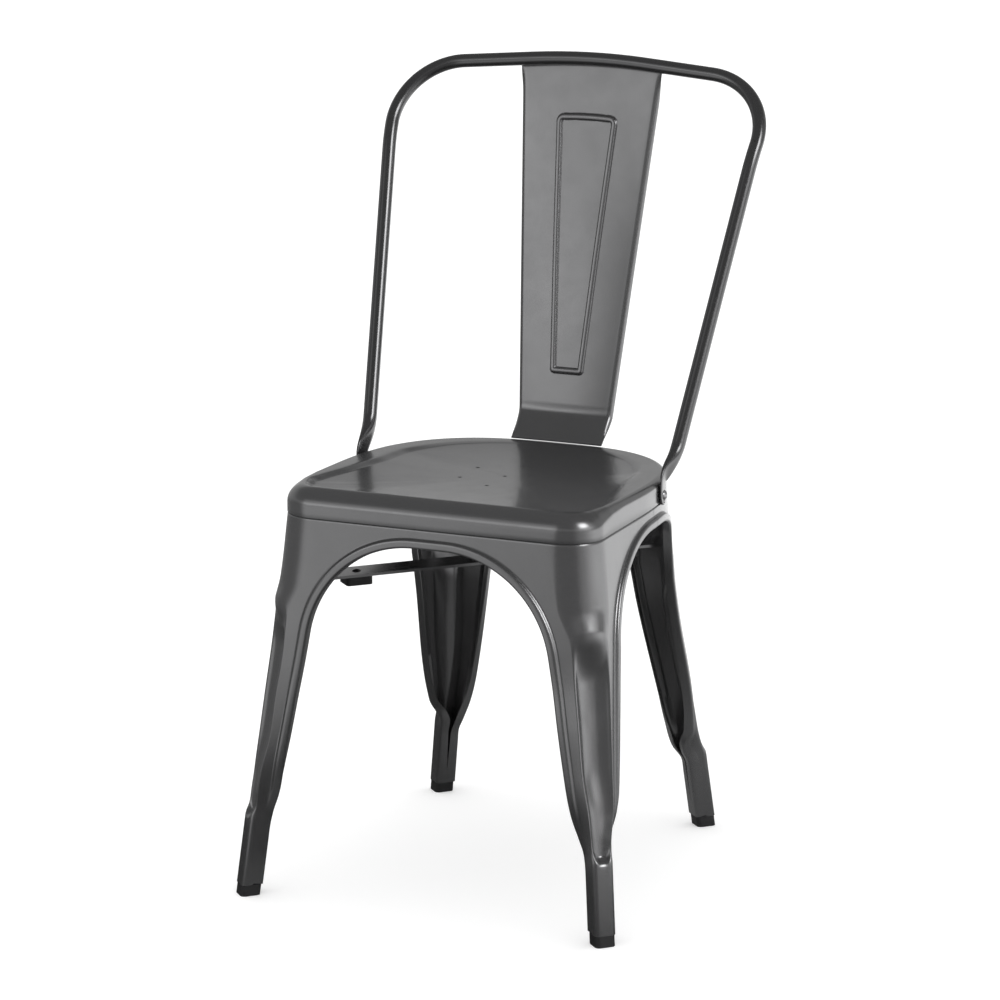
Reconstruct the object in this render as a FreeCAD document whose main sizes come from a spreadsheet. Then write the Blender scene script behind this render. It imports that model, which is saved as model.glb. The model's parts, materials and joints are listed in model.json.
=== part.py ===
import FreeCAD, Part
import math
import os
from FreeCAD import Placement, Rotation, Vector

# Stacking metal bistro chair, millimetres, +Z up, the front faces -Y and +X is to the right
# as seen from the front. Heights are above the floor. Inside this file the middle of the four
# feet is the working centre; the finished pieces are moved along Y so that the origin lies
# under the middle of the chair's box.

doc = FreeCAD.newDocument("BistroChair")
sheet = doc.addObject("Spreadsheet::Sheet", "Sizes")

# Driving sizes: name, value, meaning
SIZES = [
    ("seat_width", 353.0, "seat skirt, side to side"),
    ("seat_front", 182.1, "working centre to the front of the skirt"),
    ("seat_rear", 169.3, "working centre to the rear of the skirt"),
    ("seat_corner", 39.5, "front corner radius of the skirt"),
    ("seat_front_top", 440.0, "height of the seat's front rim"),
    ("seat_rear_top", 432.0, "height of the seat's rear rim"),
    ("roll_radius", 19.5, "rolled edge of the seat"),
    ("seat_sheet", 1.5, "sheet of the seat"),
    ("curve_start", 53.0, "where the sides begin to round to the rear, ahead of the centre"),
    ("rear_flat", 3.0, "half of the flat at the middle of the rear"),
    ("curve_power", 2.76, "fullness of the rear corners, 2 is an ellipse"),
    ("dish_front", 163.0, "front crease of the dished seat"),
    ("dish_depth", 10.0, "depth of the dish at its middle"),
    ("dish_slope", 26.0, "width of the dish's sloping border"),
    ("drain_ring", 48.0, "radius of the ring of six drain holes"),
    ("drain_place", 13.5, "drain ring behind the working centre"),
    ("drain_hole", 4.0, "diameter of a drain hole"),
    ("seam_height", 409.0, "top edge of the leg sheets, where the seat sits"),
    ("tuck_depth", 14.0, "length of the seat skirt inside the leg sheets"),
    ("fit_gap", 0.3, "clearance between curved sheets"),
    ("weld_gap", 0.1, "clearance where the splat is welded to the hoop"),
    ("thread_gap", 0.05, "clearance of a nut on its thread"),
    ("washer_gap", 0.8, "clearance of a flat washer inside the curved skirt"),
    ("tiny_lap", 0.2, "overlap that joins a shank to its head"),
    ("end_lap", 0.3, "lap and step between the hoop's tube and its flattened ends"),
    ("leg_sheet", 1.5, "sheet of the legs"),
    ("rim_proud", 4.0, "how far the rim round the openings stands out"),
    ("rim_width", 10.5, "width of that rim"),
    ("rim_return", 6.0, "depth of the flange turned in at the rim"),
    ("arch_top", 390.0, "top of the openings between the legs"),
    ("front_splay", 0.062, "lean of the front sheet, per millimetre down"),
    ("side_splay", 0.105, "lean of the side sheet, per millimetre down"),
    ("rear_splay", 0.087, "lean of the rear sheet, per millimetre down"),
    ("knee_height", 345.0, "height where the rounded corners end"),
    ("flute_top", 300.0, "height where the flutes have their full width"),
    ("flute_side", 27.0, "flute edge to the corner of the two faces, at the top"),
    ("flute_depth", 7.5, "depth of the flutes"),
    ("tube_top", 66.0, "top of the closed part of the legs"),
    ("tube_side", 23.5, "side of the closed square part"),
    ("tube_round", 5.0, "corner radius of the closed part"),
    ("front_foot_x", 201.0, "front foot from the centre line"),
    ("front_foot_y", 203.7, "front foot ahead of the working centre"),
    ("rear_foot_x", 158.7, "rear foot from the centre line"),
    ("rear_foot_y", 203.7, "rear foot behind the working centre"),
    ("front_lean_x", 0.094, "lean of the front leg's end outwards"),
    ("front_lean_y", 0.118, "lean of the front leg's end forwards"),
    ("rear_lean_x", 0.116, "lean of the rear leg's end outwards"),
    ("rear_lean_y", 0.0875, "lean of the rear leg's end backwards"),
    ("foot_height", 12.0, "rubber foot below the leg"),
    ("foot_side", 22.0, "side of the rubber foot"),
    ("foot_round", 5.0, "corner radius of the rubber foot"),
    ("plug_length", 22.0, "stem of the rubber foot inside the leg"),
    ("hoop_tube", 15.0, "diameter of the back hoop's tube"),
    ("hoop_top", 850.0, "height of the top of the hoop"),
    ("hoop_half", 179.7, "half width of the hoop at the bottom of its straight sides"),
    ("hoop_low", 468.0, "height of that place"),
    ("hoop_back", 61.6, "that place behind the working centre"),
    ("hoop_widen", 0.112, "widening of the hoop, per millimetre up"),
    ("hoop_lean", 0.437, "lean of the hoop, per millimetre up"),
    ("hoop_bend_height", 756.0, "where the hoop bends further back"),
    ("hoop_bend", 160.0, "radius of that bend"),
    ("hoop_corner", 75.0, "centre-line radius of the hoop's corners"),
    ("hoop_corner_height", 828.5, "height where the sides and the top of the hoop would meet"),
    ("hoop_peak", 845.5, "height where the two halves of the hoop's top would meet"),
    ("hoop_crown", 700.0, "radius of the hoop's top"),
    ("tab_place", 29.0, "hoop ends behind the working centre"),
    ("tab_wide", 22.0, "width of the flattened hoop ends"),
    ("tab_thick", 3.4, "thickness of the flattened hoop ends"),
    ("tab_bottom", 407.5, "lower end of the tabs"),
    ("tab_top", 431.0, "where the tabs turn into the tube"),
    ("bolt_height", 418.0, "height of the hoop bolts"),
    ("bolt_size", 5.0, "hoop bolt shank diameter"),
    ("bolt_head", 11.0, "hoop bolt head diameter"),
    ("bolt_crown", 3.2, "hoop bolt head height"),
    ("bolt_grip", 14.0, "hoop bolt shank length"),
    ("washer_size", 10.0, "hoop washer diameter"),
    ("washer_thick", 1.2, "hoop washer thickness"),
    ("nut_flats", 8.0, "hoop nut across flats"),
    ("nut_height", 4.0, "hoop nut height"),
    ("pin_height", 411.6, "height of the small rivets below the hoop bolts"),
    ("pin_size", 3.0, "small rivet shank diameter"),
    ("pin_head", 5.4, "small rivet head diameter"),
    ("pin_crown", 1.2, "small rivet head height"),
    ("splat_sheet", 1.5, "sheet of the back splat"),
    ("splat_top", 842.0, "height of the splat's top edge"),
    ("lip_gap", 0.3, "clearance between the splat's lip and the seat's rear rim"),
    ("splat_half_top", 83.5, "half width at the top"),
    ("splat_half_low", 53.2, "half width at the lip"),
    ("splat_lean", 0.200, "lean of the splat, per millimetre up"),
    ("splat_foot", 181.9, "splat behind the working centre at its bend"),
    ("splat_bend", 466.0, "height of the bend above the lip"),
    ("lip_reach", 24.4, "forward reach of the lip"),
    ("splat_fold", 6.0, "depth of the rolled side edges"),
    ("panel_top", 782.0, "top of the embossed panel"),
    ("panel_bottom", 504.0, "bottom of the embossed panel"),
    ("panel_half_top", 35.0, "half width of the panel at its top"),
    ("panel_half_low", 18.5, "half width of the panel at its bottom"),
    ("bead_width", 6.0, "width of the bead round the panel"),
    ("bead_height", 2.0, "height of the bead round the panel"),
    ("brace_top", 341.0, "height of the upper brace strip"),
    ("brace_width", 34.0, "width of the brace strips"),
    ("brace_thick", 3.0, "thickness of the brace strips"),
    ("brace_turn", 45.5, "angle of the brace strips from the chair's width"),
    ("bumper_front", 163.0, "front bumpers from the crossing along their strip"),
    ("bumper_rear", 146.0, "rear bumpers from the crossing along their strip"),
    ("bumper_length", 29.0, "length of a stacking bumper"),
    ("bumper_width", 26.0, "width of a stacking bumper"),
    ("bumper_height", 10.0, "height of a stacking bumper"),
    ("bumper_round", 4.0, "radius of a bumper's upright edges"),
    ("rivet_size", 5.0, "rivet shank diameter"),
    ("rivet_head", 10.0, "rivet head diameter"),
    ("rivet_crown", 2.0, "rivet head height"),
]
for row, (alias, value, note) in enumerate(SIZES, start=1):
    sheet.set("A%d" % row, alias)
    sheet.set("B%d" % row, str(value))
    sheet.set("C%d" % row, note)
    sheet.setAlias("B%d" % row, alias)
doc.recompute()


def size(alias):
    return float(sheet.get(alias))


FAR = 400.0
TINY = 1e-6
# The side wings of the leg sections stop this far from the chair's middle plane
WING_END = 40.0
# How far the rear corner has turned into the fluted section at the knee height
KNEE_MIX = 0.45


def flat(x, y):
    return Vector(x, y, 0)


def at_height(point, z):
    return Vector(point.x, point.y, z)


def spline(points):
    curve = Part.BSplineCurve()
    curve.interpolate(points)
    return curve.toShape()


def polygon_prism(corners, direction):
    wire = Part.makePolygon(corners + [corners[0]])
    return Part.Face(wire).extrude(direction)


# Plan of the seat skirt

def rear_outline(steps, reach=0.0):
    # Superellipse from the straight side to the rear; reach moves it outwards
    half = size("seat_width") / 2
    run_x = half - size("rear_flat")
    run_y = size("seat_rear") + size("curve_start")
    power = 2 / size("curve_power")
    points = []
    for step in range(steps + 1):
        turn = math.pi / 2 * step / steps
        cos_part = max(math.cos(turn), TINY)
        sin_part = max(math.sin(turn), TINY)
        x = size("rear_flat") + run_x * cos_part ** power
        y = -size("curve_start") + run_y * sin_part ** power
        normal = flat(cos_part ** (2 - power) / run_x, sin_part ** (2 - power) / run_y)
        normal.normalize()
        points.append(flat(x, y) + normal * reach)
    points[0].y = -size("curve_start")
    points[-1].x = size("rear_flat")
    return points


def skirt_wire(z, reach=0.0):
    half = size("seat_width") / 2 + reach
    front = -size("seat_front") - reach
    radius = size("seat_corner") + reach
    centre = flat(half - radius, front + radius)
    diagonal = flat(1, -1).normalize() * radius
    right = rear_outline(12, reach)
    start = at_height(right[0], z)
    left = [flat(-p.x, p.y) for p in right]
    mirror_centre = flat(-centre.x, centre.y)
    left_diagonal = flat(-diagonal.x, diagonal.y)
    a = Vector(centre.x, front, z)
    b = Vector(half, centre.y, z)
    edges = [
        Part.makeLine(Vector(-a.x, front, z), a),
        Part.Arc(a, at_height(centre + diagonal, z), b).toShape(),
        Part.makeLine(b, start),
        spline([at_height(p, z) for p in right]),
        Part.makeLine(at_height(right[-1], z), at_height(left[-1], z)),
        spline([at_height(p, z) for p in reversed(left)]),
        Part.makeLine(Vector(-start.x, start.y, z), Vector(-b.x, b.y, z)),
        Part.Arc(Vector(-b.x, b.y, z), at_height(mirror_centre + left_diagonal, z),
                 Vector(-a.x, front, z)).toShape(),
    ]
    return Part.Wire(edges)


def outline_x(y):
    # Half width of the skirt at a place behind the working centre
    half = size("seat_width") / 2
    run_y = size("seat_rear") + size("curve_start")
    share = (y + size("curve_start")) / run_y
    power = size("curve_power")
    cos_part = math.sqrt(max(0.0, 1 - share ** power))
    return size("rear_flat") + (half - size("rear_flat")) * cos_part ** (2 / power)


def rim_height(y):
    front, rear = -size("seat_front"), size("seat_rear")
    share = (y - front) / (rear - front)
    return size("seat_front_top") + share * (size("seat_rear_top") - size("seat_front_top"))


# Seat: a deep pressed pan with a rolled edge, a dished top and drain holes

def dish_points(inset):
    half = size("seat_width") / 2
    front = -size("dish_front") + inset
    right = [
        flat(half - 21.5 - inset, front),
        flat(half - 13.0 - inset, front + 12.0),
        flat(half - 12.0 - inset, -132.0 + inset * 0.6),
        flat(half - 18.0 - inset, -84.0),
        flat(half - 30.0 - inset, -20.0),
        flat(half - 36.0 - inset, 34.0),
        flat(outline_x(80.0) - 31.0 - inset * 0.9, 80.0 - inset * 0.3),
        flat(outline_x(118.0) - 29.0 - inset * 0.7, 112.0 - inset * 0.7),
        flat(outline_x(150.0) - 31.0 - inset * 0.5, 135.0 - inset),
        flat(0.0, size("seat_rear") - 22.0 - inset),
    ]
    return right


def dish_wire(inset, drop, level):
    right = dish_points(inset)
    left = [flat(-p.x, p.y) for p in reversed(right[:-1])]

    def lift(p):
        height = level if level is not None else rim_height(p.y) - drop
        return Vector(p.x, p.y, height)

    front_edge = Part.makeLine(lift(left[-1]), lift(right[0]))
    curve = Part.BSplineCurve()
    curve.interpolate([lift(p) for p in right + left])
    return Part.Wire([front_edge, curve.toShape()])


def seat_block(inset):
    # Solid with the rolled edge; inset is the distance inside the outer surface
    low = size("seam_height") - FAR / 10
    blank = Part.Face(skirt_wire(low, -inset)).extrude(Vector(0, 0, FAR))
    rim = [(-FAR, -FAR), (FAR, -FAR), (FAR, FAR), (-FAR, FAR)]
    slope = [Vector(x, y, rim_height(y) - inset) for x, y in rim]
    cover = polygon_prism(slope, Vector(0, 0, 2 * FAR))
    body = blank.cut(cover)
    top_edges = [e for e in body.Edges if min(v.Z for v in e.Vertexes) > size("seam_height")
                 and len(e.Vertexes) == 2 and abs(e.Vertexes[0].Z - rim_height(e.Vertexes[0].Y) + inset) < 0.01
                 and abs(e.Vertexes[1].Z - rim_height(e.Vertexes[1].Y) + inset) < 0.01]
    return body.makeFillet(size("roll_radius") - inset, top_edges)


def dish_block(thickness):
    middle = size("drain_place")
    floor = rim_height(middle) - size("dish_depth") - thickness
    upper = dish_wire(-thickness, -2.0 + thickness, None)
    lower = dish_wire(size("dish_slope") - thickness, 0.0, floor)
    return Part.makeLoft([upper, lower], True, True)


def make_seat():
    sheet_size = size("seat_sheet")
    outer = seat_block(0.0).cut(dish_block(0.0))
    inner = seat_block(sheet_size).cut(dish_block(sheet_size))
    pan = outer.cut(inner)
    seam = size("seam_height")
    keep = Part.makeBox(2 * FAR, 2 * FAR, FAR, Vector(-FAR, -FAR, seam))
    pan = pan.common(keep)
    # Part of the skirt set in by one sheet, tucked behind the leg sheets
    set_in = size("leg_sheet") + size("fit_gap")
    low = seam - size("tuck_depth")
    band_outer = Part.Face(skirt_wire(low, -set_in)).extrude(Vector(0, 0, size("tuck_depth") + sheet_size))
    band_inner = Part.Face(skirt_wire(low - 1, -set_in - sheet_size)).extrude(Vector(0, 0, FAR))
    pan = pan.fuse(band_outer.cut(band_inner))
    # Step that joins the skirt to the tucked part
    step_outer = Part.Face(skirt_wire(seam, -TINY)).extrude(Vector(0, 0, sheet_size))
    step_inner = Part.Face(skirt_wire(seam - 1, -set_in - sheet_size)).extrude(Vector(0, 0, FAR))
    pan = pan.fuse(step_outer.cut(step_inner))
    hole_radius = size("drain_hole") / 2
    places = [flat(0, size("drain_place"))]
    for step in range(6):
        turn = math.radians(30 + 60 * step)
        ring = size("drain_ring")
        places.append(flat(ring * math.cos(turn), size("drain_place") + ring * math.sin(turn)))
    for place in places:
        drill = Part.makeCylinder(hole_radius, FAR, at_height(place, size("seam_height") - FAR / 2))
        pan = pan.cut(drill)
    return pan.cut(fixing_holes()).removeSplitter()


# Legs: pressed sheets with a fluted outer corner, each joined to its neighbours under the seat

def three_arc(start, corner, end, reach):
    # Rounded corner between two directions; returns its first, middle and last point
    to_start = (start - corner).normalize()
    to_end = (end - corner).normalize()
    half_angle = to_start.getAngle(to_end) / 2
    bisector = (to_start + to_end).normalize()
    radius = reach * math.tan(half_angle)
    middle = corner + bisector * (radius / math.sin(half_angle) - radius)
    return [corner + to_start * reach, middle, corner + to_end * reach]


def leg_end(which, z):
    # Centre of the closed end at a height
    down = size("foot_height") - z
    x = size(which + "_foot_x") + size(which + "_lean_x") * down
    y = size(which + "_foot_y") + size(which + "_lean_y") * down
    return flat(x, y)


def fluted_stations(ridge_a, ridge_c, wing_turn_a, wing_turn_c, depth):
    # Section with a flute between two ridges; the wings run to the middle planes.
    # Drawn in the quarter x > 0, y > 0 and mirrored later.
    wing_a = flat(0, ridge_a.y - ridge_a.x * math.tan(wing_turn_a))
    wing_c = flat(ridge_c.x - ridge_c.y * math.tan(wing_turn_c), 0)
    if wing_c.x < WING_END:
        wing_c = flat(WING_END, ridge_c.y - (ridge_c.x - WING_END) / math.tan(wing_turn_c))
    reach = size("tube_round")
    corner_a = three_arc(wing_a, ridge_a, ridge_c, reach)
    corner_c = three_arc(ridge_a, ridge_c, wing_c, reach)
    chord_middle = (corner_a[2] + corner_c[0]) * 0.5
    inward = flat(-1, -1).normalize()
    middle = chord_middle + inward * depth
    stations = [wing_a, (wing_a + corner_a[0]) * 0.5]
    stations += corner_a + [middle] + corner_c
    stations += [(wing_c + corner_c[2]) * 0.5, wing_c]
    return stations


def closed_stations(which, z):
    centre = leg_end(which, z)
    half = size("tube_side") / math.sqrt(2)
    ridge_a = centre + flat(0, half)
    ridge_c = centre + flat(half, 0)
    quarter = math.radians(45)
    return fluted_stations(ridge_a, ridge_c, quarter, quarter, 0.0)


def front_faces(z):
    down = size("seam_height") - z
    x = size("seat_width") / 2 + size("side_splay") * down
    y = size("seat_front") + size("front_splay") * down
    return x, y


def middle_x(z):
    down = size("seam_height") - z
    return outline_x(0.0) + size("side_splay") * down


def rounded_front_stations(z):
    x, y = front_faces(z)
    radius = size("seat_corner")
    centre = flat(x - radius, y - radius)
    arc = [centre + flat(math.sin(t), math.cos(t)) * radius
           for t in [math.radians(90 * k / 6) for k in range(7)]]
    start = flat(0, y)
    end = flat(middle_x(z), 0)
    return [start, (start + arc[0]) * 0.5] + arc + [(end + arc[-1]) * 0.5, end]


def rounded_rear_stations(z):
    down = size("seam_height") - z
    outline = [p for p in rear_outline(60) if p.y >= 0]
    grow_x = 1 + size("side_splay") * down / (size("seat_width") / 2)
    grow_y = 1 + size("rear_splay") * down / size("seat_rear")
    outline = [flat(p.x * grow_x, p.y * grow_y) for p in outline]
    outline[0] = flat(middle_x(z), 0)
    outline.reverse()
    outline[0] = flat(0, outline[0].y)
    lengths = [0.0]
    for before, after in zip(outline, outline[1:]):
        lengths.append(lengths[-1] + (after - before).Length)
    total = lengths[-1]
    # Share of the length at each of the eleven stations
    shares = [0, 0.2, 0.4, 0.445, 0.49, 0.535, 0.58, 0.625, 0.67, 0.84, 1]
    stations = []
    for share in shares:
        goal = share * total
        index = max(i for i, length in enumerate(lengths) if length <= goal + TINY)
        index = min(index, len(outline) - 2)
        part = (goal - lengths[index]) / (lengths[index + 1] - lengths[index])
        stations.append(outline[index] + (outline[index + 1] - outline[index]) * part)
    return stations


def front_fluted(z, depth, wing_turn):
    # The ridges close in on the corner of the two faces on the way down
    x, y = front_faces(z)
    low = leg_end("front", size("tube_top"))
    share = (size("flute_top") - z) / (size("flute_top") - size("tube_top"))
    side = size("flute_side") + share * (size("tube_side") / math.sqrt(2) - size("flute_side"))
    out = wing_turn * 10
    ridge_a = flat(x - side, y + out)
    ridge_c = flat(x, y + out - side)
    blend = share ** 4
    half = size("tube_side") / math.sqrt(2)
    ridge_a += (low + flat(0, half) - ridge_a) * blend
    ridge_c += (low + flat(half, 0) - ridge_c) * blend
    return fluted_stations(ridge_a, ridge_c, wing_turn, wing_turn, depth)


def rear_fluted(z, depth, turn_a, turn_c):
    top_a, top_c = flat(117.6, 173.5), flat(145.5, 142.5)
    share = (size("flute_top") - z) / (size("flute_top") - size("tube_top"))
    low = leg_end("rear", size("tube_top"))
    half = size("tube_side") / math.sqrt(2)
    scale_x = size("rear_foot_x") / 158.7
    scale_y = size("rear_foot_y") / 203.7
    start_a = flat(top_a.x * scale_x, top_a.y * scale_y)
    start_c = flat(top_c.x * scale_x, top_c.y * scale_y)
    ridge_a = start_a + (low + flat(0, half) - start_a) * share
    ridge_c = start_c + (low + flat(half, 0) - start_c) * share
    return fluted_stations(ridge_a, ridge_c, turn_a, turn_c, depth)


def leg_levels(which):
    # Heights and stations of the sections from the seam down to the closed end
    seam, knee, flute = size("seam_height"), size("knee_height"), size("flute_top")
    tube = size("tube_top")
    depth = size("flute_depth")

    def down(share):
        return flute + (tube - flute) * share

    if which == "front":
        upper = [(seam, rounded_front_stations(seam)), (knee, rounded_front_stations(knee))]
        turns = [(0.0, 0.0), (0.27, 0.04), (0.52, 0.15), (0.72, 0.33), (0.88, 0.6)]
        lower = [(down(s), front_fluted(down(s), depth * (1 - s * 0.6), turn)) for s, turn in turns]
    else:
        turns = [(0.0, -0.02, -0.1), (0.3, 0.05, -0.1), (0.6, 0.25, 0.0), (0.85, 0.6, 0.45)]
        lower = [(down(s), rear_fluted(down(s), depth * (1 - s * 0.6), a, c)) for s, a, c in turns]
        rounded = rounded_rear_stations(knee)
        mixed = [p + (q - p) * KNEE_MIX for p, q in zip(rounded, lower[0][1])]
        mixed[-1] = rounded[-1]
        upper = [(seam, rounded_rear_stations(seam)), (knee, mixed)]
    return upper + lower + [(tube, closed_stations(which, tube))]


def outward(stations, index):
    last = len(stations) - 1
    if index == 0:
        return flat(0, 1)
    if index == last:
        return flat(1, 0)
    along = stations[index + 1] - stations[index - 1]
    return flat(-along.y, along.x).normalize()


def moved(stations, reach):
    return [p + outward(stations, i) * reach for i, p in enumerate(stations)]


def leg_block(which, reach_at):
    # Pie-shaped solid under the moved outer surface; it runs a little past the middle planes
    past = 6.0
    wires = []
    for z, stations in leg_levels(which):
        points = [at_height(p, z) for p in moved(stations, reach_at(z))]
        edges = [Part.makeLine(Vector(-past, points[0].y, z), points[0])]
        for start in range(0, 10, 2):
            edges.append(spline(points[start:start + 3]))
        end = points[-1]
        edges.append(Part.makeLine(end, Vector(end.x, -past, z)))
        edges.append(Part.makeLine(Vector(end.x, -past, z), Vector(-past, -past, z)))
        edges.append(Part.makeLine(Vector(-past, -past, z), Vector(-past, points[0].y, z)))
        wires.append(Part.Wire(edges))
    return Part.makeLoft(wires, True, True)


# Opening between two legs: half of its outline, as distance from the middle against height

def arch_half(kind):
    # Edge distance at the flute top, its growth per millimetre down, corner radius
    values = {"front": (133.8, 0.172, 120.0), "side_front": (130.5, 0.197, 120.0),
              "rear": (82.5, 0.19, 70.0), "side_rear": (114.5, 0.28, 98.0)}
    return values[kind]


def arch_wire(kind, grow, end_distance):
    # Outline moved outwards by grow, closed below the closed end of the leg
    edge, slope, radius = arch_half(kind)
    top = size("arch_top")
    flute = size("flute_top")
    top_edge = edge - slope * (top - flute)
    angle = math.atan(slope)
    half_angle = (math.pi / 2 + angle) / 2
    run = radius / math.tan(half_angle)
    centre_d = top_edge - run
    centre_z = top - radius
    reach = radius + grow
    first = (centre_d, top + grow)
    last = (centre_d + reach * math.cos(angle), centre_z + reach * math.sin(angle))
    middle_turn = (math.pi / 2 + angle) / 2
    middle = (centre_d + reach * math.cos(middle_turn), centre_z + reach * math.sin(middle_turn))
    low = size("tube_top") + 75.0
    knee = (edge + slope * (flute - low) + grow, low)
    foot = (end_distance + grow, size("tube_top") - 1.0)
    return first, middle, last, knee, foot


def arch_prism(which, side, grow):
    # Prism through the opening; side True for the opening at the chair's side
    kind = {("front", False): "front", ("front", True): "side_front",
            ("rear", False): "rear", ("rear", True): "side_rear"}[(which, side)]
    centre = leg_end(which, size("tube_top"))
    reach = size("tube_side") / math.sqrt(2) - size("tube_round") * (math.sqrt(2) - 1)
    end_distance = (centre.y if side else centre.x) - reach
    first, middle, last, knee, foot = arch_wire(kind, grow, end_distance)

    def place(pair):
        d, z = pair
        return Vector(-FAR / 8, d, z) if side else Vector(d, -FAR / 8, z)

    start = (-FAR / 8, first[1])
    floor_out = (foot[0], -1.0)
    floor_in = (-FAR / 8, -1.0)
    bend = ((last[0] + knee[0]) / 2, (last[1] + knee[1]) / 2)
    flare = (knee[0] + (foot[0] - knee[0]) * 0.42, knee[1] + (foot[1] - knee[1]) * 0.5)
    edges = [
        Part.makeLine(place(start), place(first)),
        Part.Arc(place(first), place(middle), place(last)).toShape(),
        Part.makeLine(place(last), place(knee)),
        spline([place(knee), place(flare), place(foot)]),
        Part.makeLine(place(foot), place(floor_out)),
        Part.makeLine(place(floor_out), place(floor_in)),
        Part.makeLine(place(floor_in), place(start)),
    ]
    direction = Vector(FAR, 0, 0) if side else Vector(0, FAR, 0)
    return Part.Face(Part.Wire(edges)).extrude(direction)


def rim_fade(z):
    # The rim stands out in full above the flute's lower half and dies out at the closed end
    tube = size("tube_top")
    share = min(1.0, max(0.0, (z - tube) / 70.0))
    return share


def end_tube(which):
    # Closed square end with its corners to the front and the side
    low = size("foot_height")
    high = size("tube_top") + 8.0
    side = size("tube_side")
    radius = size("tube_round")
    wall = size("leg_sheet")

    outer = Part.makeLoft([leg_wire(which, z, side, radius) for z in (low, high)], True, True)
    inside = side - 2 * wall
    inner = Part.makeLoft([leg_wire(which, z, inside, radius - wall) for z in (low, high)], True, True)
    return outer, inner


def make_leg(which):
    wall = size("leg_sheet")
    proud = size("rim_proud")
    width = size("rim_width")

    def out_by(amount):
        return leg_block(which, lambda z: amount * rim_fade(z))

    face_out = leg_block(which, lambda z: 0.0)
    face_in = leg_block(which, lambda z: -wall)
    rim_out = out_by(proud)
    rim_in = leg_block(which, lambda z: proud * rim_fade(z) - wall)
    deep = leg_block(which, lambda z: -size("rim_return"))
    wide_open = arch_prism(which, False, width).fuse(arch_prism(which, True, width))
    wall_open = arch_prism(which, False, width - wall).fuse(arch_prism(which, True, width - wall))
    lip_open = arch_prism(which, False, wall).fuse(arch_prism(which, True, wall))
    opening = arch_prism(which, False, 0.0).fuse(arch_prism(which, True, 0.0))
    skin = face_out.cut(face_in).cut(wide_open)
    band = rim_out.cut(rim_in).common(wide_open).cut(opening)
    step = rim_out.cut(face_in).common(wide_open).cut(wall_open)
    lip = rim_out.cut(deep).common(lip_open).cut(opening)
    leg = skin.fuse([band, step, lip])
    quarter = Part.makeBox(FAR, FAR, FAR * 2, Vector(0, 0, 0))
    leg = leg.common(quarter)
    outer, inner = end_tube(which)
    leg = leg.cut(inner).fuse(outer.cut(inner))
    return leg.removeSplitter()


def quarter_placement(shape, left, front):
    # The quarter x > 0, y > 0 is mirrored to the leg's own corner
    result = shape
    if front:
        result = result.mirror(Vector(0, 0, 0), Vector(0, 1, 0))
    if left:
        result = result.mirror(Vector(0, 0, 0), Vector(1, 0, 0))
    return result


# Back hoop: one bent tube with its ends pressed flat

def tangent_path(points, radii):
    # Straight runs joined by tangent arcs
    edges = []
    last = points[0]
    for before, corner, after, radius in zip(points, points[1:], points[2:], radii):
        back = (before - corner).normalize()
        ahead = (after - corner).normalize()
        half_angle = back.getAngle(ahead) / 2
        reach = radius / math.tan(half_angle)
        start = corner + back * reach
        end = corner + ahead * reach
        bisector = (back + ahead).normalize()
        middle = corner + bisector * (radius / math.sin(half_angle) - radius)
        edges.append(Part.makeLine(last, start))
        edges.append(Part.Arc(start, middle, end).toShape())
        last = end
    edges.append(Part.makeLine(last, points[-1]))
    return Part.Wire(edges)


def hoop_points():
    low, bend, corner, peak = [size(name) for name in
                               ("hoop_low", "hoop_bend_height", "hoop_corner_height", "hoop_peak")]
    half, start_y = size("hoop_half"), size("hoop_back")
    radius = size("hoop_tube") / 2
    # The crown leans back until the tube meets the splat's front with a small clearance
    lean_angle = math.atan(size("splat_lean"))
    crown_z = size("hoop_top") - radius
    contact_z = crown_z - radius * math.sin(lean_angle)
    crown_y = splat_y(contact_z) - radius * math.cos(lean_angle) - size("weld_gap")
    bend_y = start_y + size("hoop_lean") * (bend - low)
    top_lean = (crown_y - bend_y) / (crown_z - bend)

    def side_x(z):
        return half + size("hoop_widen") * (z - low)

    def top_y(z):
        return bend_y + top_lean * (z - bend)

    return [Vector(side_x(low), start_y, low), Vector(side_x(bend), bend_y, bend),
            Vector(side_x(corner), top_y(corner), corner), Vector(0, top_y(peak), peak)]


def tab_centre(z):
    y = size("tab_place")
    x = outline_x(y) + size("fit_gap") + size("tab_thick") / 2
    return Vector(x, y, z)


def tab_turn():
    # Angle of the skirt at the tab, seen from above
    y = size("tab_place")
    slope = (outline_x(y + 1) - outline_x(y - 1)) / 2
    return -math.degrees(math.atan(slope))


def stadium(wide, thick):
    # Flat oval in four edges: two straight sides along Y and two round ends
    radius = thick / 2
    run = wide / 2 - radius
    points = [Vector(radius, -run, 0), Vector(radius, run, 0), Vector(0, wide / 2, 0),
              Vector(-radius, run, 0), Vector(-radius, -run, 0), Vector(0, -wide / 2, 0)]
    return Part.Wire([
        Part.makeLine(points[0], points[1]),
        Part.Arc(points[1], points[2], points[3]).toShape(),
        Part.makeLine(points[3], points[4]),
        Part.Arc(points[4], points[5], points[0]).toShape(),
    ])


def round_section(radius):
    # Circle in four quarter arcs that match the edges of the flat oval
    def rim(turn):
        angle = math.radians(turn)
        return Vector(radius * math.cos(angle), radius * math.sin(angle), 0)

    arcs = [Part.Arc(rim(turn - 45), rim(turn), rim(turn + 45)) for turn in (0, 90, 180, 270)]
    return Part.Wire([arc.toShape() for arc in arcs])


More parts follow.
